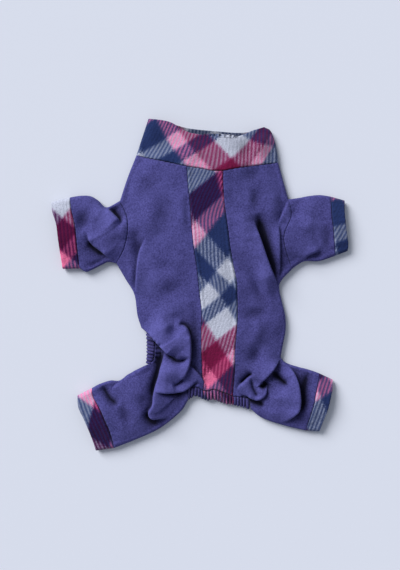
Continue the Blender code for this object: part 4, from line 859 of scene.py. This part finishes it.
def paint_fold_shade(tree, painted_shading, shade_rate, shade_floor, colour, height, bump):
    """Colour with painted shade in the folds, and the nap's height, joined to the shader."""
    # painted shade: the colour darkens with depth in a fold
    painted_shade = reckon(tree, "MULTIPLY_ADD", painted_shading, shade_rate, 1.0)
    painted_shade = reckon(tree, "MINIMUM", painted_shade, 1.0)
    painted_shade = reckon(tree, "MAXIMUM", painted_shade, shade_floor)
    colour = blend(tree, 1.0, colour, painted_shade, "MULTIPLY")
    normal = add(tree, "ShaderNodeBump", {"Strength": bump[0], "Distance": bump[1],
                                          "Height": height}).outputs[0]
    shader = tree.nodes["Principled BSDF"]
    tree.links.new(colour, shader.inputs["Base Color"])
    tree.links.new(normal, shader.inputs["Normal"])


def jersey_material(name, deep, lit):
    material, tree, place, fluff, painted_shading = napped_material(name, JERSEY_FINISH, JERSEY_FIBRE)
    split = add(tree, "ShaderNodeSeparateXYZ", {0: place})
    course = reckon(tree, "MULTIPLY", split.outputs["Y"], 2 * pi / COURSE_PITCH)
    rows = reckon(tree, "SINE", course)
    tone = reckon(tree, "MULTIPLY_ADD", fluff["Cloud"], CLOUD_TONE, -CLOUD_TONE / 2)
    tone = reckon(tree, "MULTIPLY_ADD", fluff["Speck"], SPECK_TONE, tone)
    tone = reckon(tree, "MULTIPLY_ADD", rows, COURSE_TONE, tone)
    # painted highlight on fold crests, painted shade in folds
    tone = reckon(tree, "MULTIPLY_ADD", painted_shading, PAINTED_FOLD_TONE, tone)
    tone = reckon(tree, "ADD", tone, TONE_START, clamp=True)
    colour = blend(tree, tone, (*deep, 1.0), (*lit, 1.0))
    height = reckon(tree, "MULTIPLY_ADD", rows, COURSE_HEIGHT, fluff["Height"])
    paint_fold_shade(tree, painted_shading, PAINTED_SHADE_RATE, PAINTED_SHADE_FLOOR, colour, height, JERSEY_BUMP)
    return material


violet_jersey = jersey_material("violet_jersey", *JERSEY_COLOURS)
jersey = (JERSEY_WALL, violet_jersey, "violet_jersey")
SIDE_CUTS = {"left": (0.190, 0.360, 0.0486), "right": (0.170, 0.330, 0.0402)}  # flat width, length and area
for hand in ("left", "right"):
    upper, lower, under, folds = plans[hand]
    outer, inner, outer_edges, inner_edges = sides[hand][:4]
    seams = [(upper[0], SEAM_TURN), (upper[-1], SEAM_TURN)]
    for line, edges in ((outer, outer_edges), (inner, inner_edges)):
        for first, after in stretches([edge == SEAM for edge in edges]):
            seams.append((line[first:after + 1], SEAM_TURN))
    piece = layered_piece(hand + "_side", upper, lower, folds, seams, jersey)
    width, length, area = SIDE_CUTS[hand]

# Sleeves: a jersey tube each, set into the armhole, and closed by a seam under the foreleg.
SLEEVE_COLUMNS = 52
SLEEVE_CUTS = {"left": (0.182, 0.072, 0.0109), "right": (0.172, 0.062, 0.0093)}
for hand in ("left", "right"):
    top, bottom = sleeves[hand]
    widths = np.linalg.norm(top - bottom, axis=1)
    shares = [edge_bands(w, SLEEVE_COLUMNS) for w in widths]
    hole, cuff_seam = armhole(hand), cuff_seams[hand + "_front"]
    tube = blended_rows(top, bottom, hole, cuff_seam, shares)
    every = np.ones(len(top), bool)
    piece = layered_piece(hand + "_front_sleeve", tube, tube.copy(), (every, every),
                          [(hole, SEAM_TURN), (cuff_seam, SEAM_TURN)], jersey)
    width, length, area = SLEEVE_CUTS[hand]

# Belly panel: one flat piece of jersey between the two belly seams, on the side that the suit lies on.
BELLY_ROWS = 60
BELLY_COLUMNS = 40
hem_rows = {hand: FINE * sum(s.rows for s in side_specs[hand][0][:HEM_SECTION])
            for hand in ("left", "right")}
belly_seams = {hand: plans[hand][1][:hem_rows[hand] + 1, -1] for hand in ("left", "right")}
neck_line = np.concatenate((neck["left"], neck["middle"][1:], neck["right"][1:]))
lengths = {k: line_length(v) for k, v in neck.items()}
neck_total = sum(lengths.values())
first = sides["left"][4][0] * lengths["left"] / neck_total
last = 1.0 - sides["right"][4][0] * lengths["right"] / neck_total
belly_neck = along_line(neck_line, np.linspace(first, last, BELLY_COLUMNS))
belly_hem = np.stack((belly_seams["left"][-1], belly_seams["right"][-1]))
row_shares = np.linspace(0.0, 1.0, BELLY_ROWS + 1)
belly_shares = [edge_bands(BELLY_SEAM * CHEST_WIDTH, BELLY_COLUMNS)] * len(row_shares)
belly = blended_rows(along_line(belly_seams["left"], row_shares),
                     along_line(belly_seams["right"], row_shares), belly_neck, belly_hem, belly_shares)
flat = belly.reshape(-1, 2)
height = lower_at(flat)
for line in (belly_seams["left"], belly_seams["right"], belly_neck, belly_hem):
    height += round_over(nearest(flat, line)[0], LOWER_TURN * SEAM_TURN)
at = np.arange(len(flat)).reshape(belly.shape[:2])
piece = piece_from("belly_panel", np.column_stack((flat, height)), quads(at, plan_turn(belly) < 0),
                   *jersey, np.column_stack((flat, np.ones(len(flat)))), np.zeros(len(flat)))

# Plaid fleece. A brushed tartan, woven of yarns in a repeat of coloured bands, the same in warp and weft,
# and cut on the bias: the bands cross as lozenges, solid where two alike meet, and in fine twill ribs where
# they differ.
FLEECE_WALL = 0.0024
FLEECE_TURN = 0.0015
FLEECE_LIFT = 0.0008  # how far the thicker cloth stands above jersey
RIM_TURN = 0.0017
ROLL_HEIGHT = 0.0009  # of the turned edges of the stripe
ROLL_PLACE = 0.0024  # from the seam
ROLL_WIDTH = 0.0012
RIB_PITCH = 0.0043
RIB_WOBBLE = 2.5
RIB_SHARE = 0.26  # how far a rib shifts the mix of the two yarns
BAND_EDGE = 0.12  # half the run over which two bands blend, in the sett's units
BAND_BLUR = 0.50
DARKER_SHARE = 0.25  # where two yarns cross, the darker one shows more
SHADE = 0.78  # of the cloth, and what ribs and specks add to it
RIB_SHADE = 0.02
SPECK_SHADE = 0.40
RIB_HEIGHT = 0.08
FLEECE_FIBRE = 620.0  # per metre
# how fast painted shade darkens the fleece in its folds
FLEECE_PAINTED_SHADE_RATE = 0.9
FLEECE_BUMP = (0.8, 0.0009)
FLEECE_FINISH = {"Roughness": 0.97, "Specular IOR Level": 0.08, "Sheen Weight": 0.08,
                 "Sheen Roughness": 0.6}
COLOUR_GAMMA = 2.2  # the yarns blend as seen, not as light
YARNS = {
    "white": (0.735, 0.755, 0.830),
    "pink": (0.990, 0.480, 0.670),
    "crimson": (0.470, 0.090, 0.270),
    "burgundy": (0.230, 0.030, 0.220),
    "navy": (0.145, 0.200, 0.375),
}
# The repeat: yarn and width of each band, in units of half a white band; the chart's zero is in mid white.
SETT = (
    ("white", 1.05), ("crimson", 1.55), ("pink", 0.95), ("navy", 1.70), ("white", 1.95), ("burgundy", 2.05),
    ("pink", 1.20), ("navy", 2.25), ("white", 1.35), ("navy", 1.20), ("white", 0.80),
)


def tartan_group():
    """Tartan from two band positions and a rib position, and how high its brushed ribs stand."""
    tree, ins, outs = new_group("bias_tartan", [
        ("Warp", "NodeSocketFloat", 0.0), ("Weft", "NodeSocketFloat", 0.0), ("Rib", "NodeSocketFloat", 0.0),
        ("Speck", "NodeSocketFloat", 0.5), ("Cloud", "NodeSocketFloat", 0.5),
    ], [("Color", "NodeSocketColor"), ("Height", "NodeSocketFloat")])
    repeat = sum(width for _, width in SETT)
    blur = reckon(tree, "MULTIPLY_ADD", ins.outputs["Speck"], BAND_BLUR, -BAND_BLUR / 2)
    yarns = []
    for label in ("Warp", "Weft"):
        at = reckon(tree, "ADD", ins.outputs[label], blur)
        at = reckon(tree, "DIVIDE", at, repeat)
        ramp = add(tree, "ShaderNodeValToRGB", {0: reckon(tree, "FRACT", at)})
        stops = ramp.color_ramp.elements
        start = 0.0
        for i, (yarn, width) in enumerate(SETT):
            for place in (start + BAND_EDGE, start + width - BAND_EDGE):
                if i == 0:
                    stop = stops[0] if place == start + BAND_EDGE else stops[1]
                    stop.position = place / repeat
                else:
                    stop = stops.new(place / repeat)
                stop.color = (*YARNS[yarn], 1.0)
            start += width
        yarns.append(ramp.outputs["Color"])
    wobble = reckon(tree, "MULTIPLY", ins.outputs["Cloud"], RIB_WOBBLE)
    wave = reckon(tree, "SINE", reckon(tree, "MULTIPLY_ADD", ins.outputs["Rib"], 2 * pi, wobble))
    share = reckon(tree, "MULTIPLY_ADD", wave, RIB_SHARE, ins.outputs["Speck"], clamp=True)
    mixed = blend(tree, share, *yarns)
    mixed = blend(tree, DARKER_SHARE, mixed, blend(tree, 1.0, *yarns, "DARKEN"))
    shade = reckon(tree, "MULTIPLY_ADD", wave, RIB_SHADE, SHADE)
    shade = reckon(tree, "MULTIPLY_ADD", ins.outputs["Speck"], SPECK_SHADE, shade)
    light = add(tree, "ShaderNodeGamma", {0: blend(tree, 1.0, mixed, shade, "MULTIPLY"), 1: COLOUR_GAMMA})
    tree.links.new(light.outputs[0], outs.inputs["Color"])
    tree.links.new(wave, outs.inputs["Height"])
    return tree


def fleece_material():
    material, tree, _, fluff, painted_shading = napped_material("plaid_fleece", FLEECE_FINISH, FLEECE_FIBRE)
    grain = add(tree, "ShaderNodeAttribute", attribute_name="grain").outputs["Vector"]
    split = add(tree, "ShaderNodeSeparateXYZ", {0: grain}).outputs
    plaid = add(tree, "ShaderNodeGroup", {
        "Warp": split["X"], "Weft": split["Y"], "Rib": split["Z"], "Speck": fluff["Speck"],
        "Cloud": fluff["Cloud"],
    }, node_tree=tartan_group()).outputs
    height = reckon(tree, "MULTIPLY_ADD", plaid["Height"], RIB_HEIGHT, fluff["Height"])
    paint_fold_shade(tree, painted_shading, FLEECE_PAINTED_SHADE_RATE, 0.0, plaid["Color"], height, FLEECE_BUMP)
    return material


plaid_fleece = fleece_material()
fleece = (FLEECE_WALL, plaid_fleece, "plaid_fleece")
# How the tartan lies in each piece: the middle of a white lozenge, its half width, its half length at
# places along the piece, its turn, and how far the lozenges drift sideways along the piece, rise towards
# its right end and lean towards its left one. Inside the far wall the middle lies elsewhere.
Lay = namedtuple("Lay", "middle across along turn drift rise lean far")
FLAT = (0.0, 0.0)
STRIPE_LENGTHS = ((-0.090, 0.0255), (0.0, 0.0213), (0.190, 0.0282))
STRIPE_DRIFT = ((-0.090, -0.0153), (-0.070, -0.0124), (-0.040, -0.0083), (0.0, 0.0032), (0.034, 0.0134),
                (0.062, 0.0096), (0.102, 0.0079), (0.134, 0.0100), (0.190, 0.0362))
RISE_REACH = 0.05
LEAN_REACH = 0.09
NO_DRIFT = ((-1.0, 0.0), (1.0, 0.0))


def even(length):
    return ((-1.0, length), (1.0, length))


LAYS = {
    "back_stripe": Lay((0.02377, -0.04322), 0.0208, STRIPE_LENGTHS, 0.0, STRIPE_DRIFT, 0.0, 0.0, FLAT),
    "tail_casing_middle": Lay((-0.0851, 0.0408), 0.0208, even(0.0255), 5.4, NO_DRIFT, 0.0, 0.0, FLAT),
    "collar": Lay((0.0389, 0.1726), 0.0225, even(0.0212), -3.4, NO_DRIFT, 0.0266, 0.45, (-0.0207, 0.0)),
    "left_front_cuff": Lay((-0.10468, 0.17706), 0.0224, even(0.0219), 5.8, NO_DRIFT, 0.0, 0.0, FLAT),
    "right_front_cuff": Lay((0.18040, 0.25698), 0.01938, even(0.01955), -29.3, NO_DRIFT, 0.0, 0.0, FLAT),
    "left_hind_cuff": Lay((-0.18313, 0.07082), 0.0184, even(0.0251), 22.1, NO_DRIFT, 0.0, 0.0, FLAT),
    "right_hind_cuff": Lay((0.16830, -0.22396), 0.0214, even(0.0239), -19.1, NO_DRIFT, 0.0, 0.0, FLAT),
}


def set_grain(piece, name):
    """Band and rib positions of the tartan at each vertex, from where it lies in plan."""
    lay = LAYS[name]
    mesh = piece.data
    plan = np.zeros(len(mesh.vertices) * 3, np.float32)
    mesh.attributes["plan"].data.foreach_get("vector", plan)
    layer = plan.reshape(-1, 3)[:, 2]
    offset = plan.reshape(-1, 3)[:, :2] - np.array(lay.middle) - layer[:, None] * np.array(lay.far)
    turn = radians(lay.turn)
    across = offset[:, 0] * cos(turn) + offset[:, 1] * sin(turn)
    along = -offset[:, 0] * sin(turn) + offset[:, 1] * cos(turn)
    drift = simple_line(lay.drift)
    leaning = lay.lean * along * np.clip(-across, 0.0, None) / LEAN_REACH * (1 - layer)
    along = along - lay.rise * (np.clip(across, 0.0, None) / RISE_REACH) ** 2 * (1 - layer)
    across = across - np.interp(along, drift[:, 0], drift[:, 1]) - leaning
    places = np.linspace(-0.5, 0.5, 1001)
    counted = np.cumsum(0.001 / np.interp(places, *np.array(lay.along).T))
    down, side = np.interp(0.0, places, counted) - np.interp(along, places, counted), across / lay.across
    grain = np.column_stack((down + side, down - side, across / RIB_PITCH))
    keep_in(mesh, "grain", "FLOAT_VECTOR", "vector", grain)


def lifted(line):
    """The rise of thick cloth beside its seam."""
    return lambda points: FLEECE_LIFT * (1 - np.exp(-nearest(points, line)[0] / FLEECE_LIFT))


# Cuffs: a band of fleece round the end of each limb, doubled at its rim.
CUFF_ROWS = 26
CROWDING = 0.8


def crowded_rows(count):
    """Shares that lie close together at both ends."""
    even_rows = np.linspace(0.0, 1.0, count + 1)
    return even_rows - CROWDING * np.sin(2 * pi * even_rows) / (2 * pi)


for name, seam_line in cuff_seams.items():
    rim = cuff_rims[name]
    places = crowded_rows(CUFF_ROWS)
    rows = places[:, None]
    top = seam_line[0] * (1 - rows) + rim[0] * rows
    bottom = seam_line[-1] * (1 - rows) + rim[-1] * rows
    widths = np.linalg.norm(top - bottom, axis=1)
    band = blended_rows(top, bottom, seam_line, rim, [edge_bands(w, SLEEVE_COLUMNS) for w in widths],
                        places)
    every = np.ones(len(rows), bool)
    piece = layered_piece(name + "_cuff", band, band.copy(), (every, every),
                          [(seam_line, FLEECE_TURN), (rim, RIM_TURN)], fleece, lifted(seam_line))
    set_grain(piece, name + "_cuff")

# Collar: a high fleece tube, sewn round the neck and doubled at its rim. Its near wall has sunk, so that
# the inside of the far wall shows over it.
COLLAR_ROWS = 54
COLLAR_COLUMNS = 130
row_shares = crowded_rows(COLLAR_ROWS)
left_edge, right_edge = along_line(collar_left, row_shares), along_line(collar_right, row_shares)
widths = np.linalg.norm(right_edge - left_edge, axis=1)
shares = [edge_bands(w, COLLAR_COLUMNS) for w in widths]
near_wall = blended_rows(left_edge, right_edge, neck_line, near_rim, shares, row_shares)
far_wall = blended_rows(left_edge, right_edge, neck_line, far_rim, shares, row_shares)
every = np.ones(len(row_shares), bool)
near_seams, far_seams = ([(neck_line, FLEECE_TURN), (rim, RIM_TURN)] for rim in (near_rim, far_rim))
piece = layered_piece("collar", near_wall, far_wall, (every, every), near_seams, fleece,
                      lifted(neck_line), far_seams)
set_grain(piece, "collar")

# Spine stripe: a strip of fleece down the back, sewn between the two sides. The cloth rolls up beside both
# seams.
STRIPE_ROWS = 230
STRIPE_COLUMNS = 28
row_shares = np.linspace(0.0, 1.0, STRIPE_ROWS + 1)
seam_lines = [sides[hand][1][:sides[hand][5][1] + 1] for hand in ("left", "right")]
left_seam, right_seam = (along_line(line, row_shares) for line in seam_lines)
widths = np.linalg.norm(right_seam - left_seam, axis=1)
grid = blended_rows(left_seam, right_seam, neck["middle"], tail_seams["middle"],
                    [edge_bands(w, STRIPE_COLUMNS) for w in widths])


def stripe_rolls(points):
    gap = np.min([nearest(points, line)[0] for line in seam_lines], axis=0)
    return ROLL_HEIGHT * np.exp(-((gap - ROLL_PLACE) / ROLL_WIDTH) ** 2)


none = np.zeros(len(row_shares), bool)
seams = [(line, FLEECE_TURN) for line in (left_seam, right_seam, grid[0], grid[-1])]
piece = layered_piece("back_stripe", grid, None, (none, none), seams, fleece, stripe_rolls)
set_grain(piece, "back_stripe")

# Casings: the edge of the rear opening, turned over a narrow elastic and drawn in, so that the cloth stands
# in small gathers across it. Under the tail it is fleece, beside it and at the flank jersey.
CASING_WIDTH = 0.010
CASING_THICKNESS = 0.0020
# The flank casing's seam and its free edge, in body shares
FLANK_CASING_SEAM = ((-0.318, 0.712), (-0.322, 0.750), (-0.323, 0.783), (-0.330, 0.820), (-0.345, 0.850))
FLANK_CASING_EDGE = ((-0.377, 0.703), (-0.374, 0.745), (-0.373, 0.785), (-0.374, 0.820), (-0.378, 0.846))
FLANK_HEM_HEIGHT = 0.0040
TAIL_HEM_HEIGHT = 0.0058
GATHER_PITCH = 0.0040
GATHER_HEIGHT = 0.0016
GATHER_SHADE = 0.28  # painted shade at the bottom of a gather is twice this below zero
CASING_BULGE = 0.0016
RUFFLE = 0.09  # of the free edge, as a share of the casing's depth
CASING_COLUMNS = 10
CASING_STEP = 0.0005  # between two mesh rows
HIDDEN_HEIGHT = 0.0024  # of the stretches underneath, which are pressed flat
HIDDEN_GATHERS = 0.25
SEAM_DIP = 0.12  # share of the depth over which the casing rises from its seam, and where it turns under
EDGE_DIP = 0.82
HEM_UNDER = 0.6  # how far its edge turns under, as a share of its thickness
CASING_COLOURS = ((0.034, 0.029, 0.13), (0.11, 0.10, 0.32))
# The depths of the tail hem's stretches from the middle outwards, as shares of CASING_WIDTH
TAIL_DEPTHS = {
    "left": (1.07, 1.07, 1.10, 1.45),
    "middle": (1.07, 1.17, 1.30, 1.30, 1.07),
    "right": (1.07, 1.20, 1.24),
}
violet_elastic = (jersey_material("violet_casing", *CASING_COLOURS), "violet_casing")


def casing(name, seam_line, free_line, free_height, cloth):
    """Gathered casing between its seam and its free edge."""
    hidden = free_height <= HIDDEN_HEIGHT
    length = line_length(seam_line)
    count = max(int(length / CASING_STEP), 12)
    shares = np.linspace(0.0, 1.0, count + 1)
    seam, free = along_line(seam_line, shares), along_line(free_line, shares)
    seam_z = np.full(len(shares), HIDDEN_HEIGHT) if hidden else upper_at(seam)[0] - SEAM_TURN
    arc = shares * length
    jitter = np.array([noise.noise((a * 170.0, 3.1, len(name))) for a in arc])
    wave = (2 * np.abs(np.sin(pi * arc / GATHER_PITCH + 1.2 * jitter)) ** 0.8 - 1) * (0.8 + 0.5 * jitter)
    height = GATHER_HEIGHT * (HIDDEN_GATHERS if hidden else 1.0)
    points, plan = [], []
    for step in range(CASING_COLUMNS + 1):
        t = step / CASING_COLUMNS
        ruffle = RUFFLE * wave[:, None] * t * t
        here = seam * (1 - t) + free * (t + ruffle) - seam * ruffle
        z = seam_z * (1 - t) + free_height * t + wave * height * sin(pi * (0.08 + 0.84 * t)) ** 0.5
        if not hidden:
            z += CASING_BULGE * sin(pi * t) ** 0.7 - SEAM_TURN * max(0.0, 1 - t / SEAM_DIP) ** 2
            z -= CASING_THICKNESS * HEM_UNDER * max(0.0, (t - EDGE_DIP) / (1 - EDGE_DIP)) ** 2
        points.append(np.column_stack((here, z)))
        plan.append(np.column_stack((here, np.zeros(len(here)))))
    grid = np.stack(points, axis=1)
    at = np.arange(grid.shape[0] * grid.shape[1]).reshape(grid.shape[:2])
    faces = quads(at, plan_turn(grid[..., :2]) > 0)
    # painted shade at the bottom of each gather
    painted_shading = np.repeat(GATHER_SHADE * (wave - 1), CASING_COLUMNS + 1)
    piece = piece_from(name, grid.reshape(-1, 3), faces, CASING_THICKNESS, *cloth,
                       np.stack(plan, axis=1).reshape(-1, 3), painted_shading)
    return piece


for place, seam_line in tail_seams.items():
    depths = TAIL_DEPTHS[place]
    shares = np.linspace(0.0, 1.0, 4 * len(depths) - 3)
    free_line = along_line(seam_line, shares)
    free_line[:, 1] -= np.interp(shares, np.linspace(0.0, 1.0, len(depths)), depths) * CASING_WIDTH
    cloth = fleece[1:] if place == "middle" else violet_elastic
    piece = casing("tail_casing_" + place, seam_line, free_line, TAIL_HEM_HEIGHT, cloth)
    if place == "middle":
        set_grain(piece, "tail_casing_middle")


def offset_line(line, toward, distance):
    """Line moved sideways by a distance, towards the side on which the points lie."""
    run = np.gradient(line, axis=0)
    normal = np.stack((-run[:, 1], run[:, 0]), axis=1)
    normal /= np.linalg.norm(normal, axis=1)[:, None]
    return line + normal * np.sign(np.sum(normal * (toward - line))) * distance


flank_free = simple_line([body_at(p) for p in FLANK_CASING_EDGE])
casing("flank_casing", simple_line([body_at(p) for p in FLANK_CASING_SEAM]), flank_free, FLANK_HEM_HEIGHT,
       violet_elastic)
hem_line = np.stack((plans["left"][1][hem_rows["left"], LOWER_COLUMNS // 2 + BAND_STEPS], *belly_hem))
casing("belly_casing", hem_line, hem_line - np.array((0.0, CASING_WIDTH)), HIDDEN_HEIGHT, violet_elastic)
for hand, start_trim in (("left", 0.0), ("right", 1.3 * CASING_WIDTH)):
    under, inner_folds = plans[hand][2], plans[hand][3][1]
    rows = np.arange(len(under))
    first_row = np.flatnonzero((under > 0.0) & (rows > hem_rows[hand]))[0]
    crotch_row = np.flatnonzero(inner_folds)[0]
    edge = plans[hand][1][first_row:crotch_row + 1, -1]
    length = line_length(edge)
    seam_line = along_line(edge, np.linspace(start_trim / length, 1.0 - 1.6 * CASING_WIDTH / length, 16))
    toward = seam_line + (body_at((0.0, 0.80)) - seam_line) * 0.1
    casing(hand + "_thigh_casing", seam_line, offset_line(seam_line, toward, CASING_WIDTH), HIDDEN_HEIGHT,
           violet_elastic)

# Studio: a pale floor, a large soft light at the upper left and a soft bluish room. The camera looks down.
FLOOR_SIZE = 6.0
CAMERA_HEIGHT = 0.95
LIE_HEIGHT = 0.008  # height at which the picture's scale holds
bpy.ops.mesh.primitive_plane_add(size=FLOOR_SIZE, location=(0.0, 0.0, -0.0004))
floor = bpy.context.object
floor.name = "floor"
paper = bpy.data.materials.new("pale_floor")
paper.use_nodes = True
shader = paper.node_tree.nodes["Principled BSDF"]
shader.inputs["Base Color"].default_value = (0.74, 0.78, 0.89, 1.0)
shader.inputs["Roughness"].default_value = 0.9
floor.data.materials.append(paper)

lamp = bpy.data.lights.new("window", "SUN")
lamp.angle = 0.62
lamp.energy = 3.55
lamp.color = (1.0, 0.985, 0.97)
window = bpy.data.objects.new("window", lamp)
window.rotation_euler = Vector((0.62, -0.62, -0.58)).to_track_quat("-Z", "Y").to_euler()
bpy.context.scene.collection.objects.link(window)

room = bpy.data.worlds.new("room")
room.use_nodes = True
room.node_tree.nodes["Background"].inputs["Color"].default_value = (0.86, 0.91, 1.0, 1.0)
room.node_tree.nodes["Background"].inputs["Strength"].default_value = 0.33
bpy.context.scene.world = room

lens = bpy.data.cameras.new("camera")
lens.sensor_fit = "VERTICAL"
lens.sensor_height = 24.0
lens.lens = 33.33
camera = bpy.data.objects.new("camera", lens)
camera.location = (0.0004, -0.0002, CAMERA_HEIGHT + LIE_HEIGHT)
bpy.context.scene.collection.objects.link(camera)
bpy.context.scene.camera = camera
bpy.context.scene.view_settings.view_transform = "Standard"
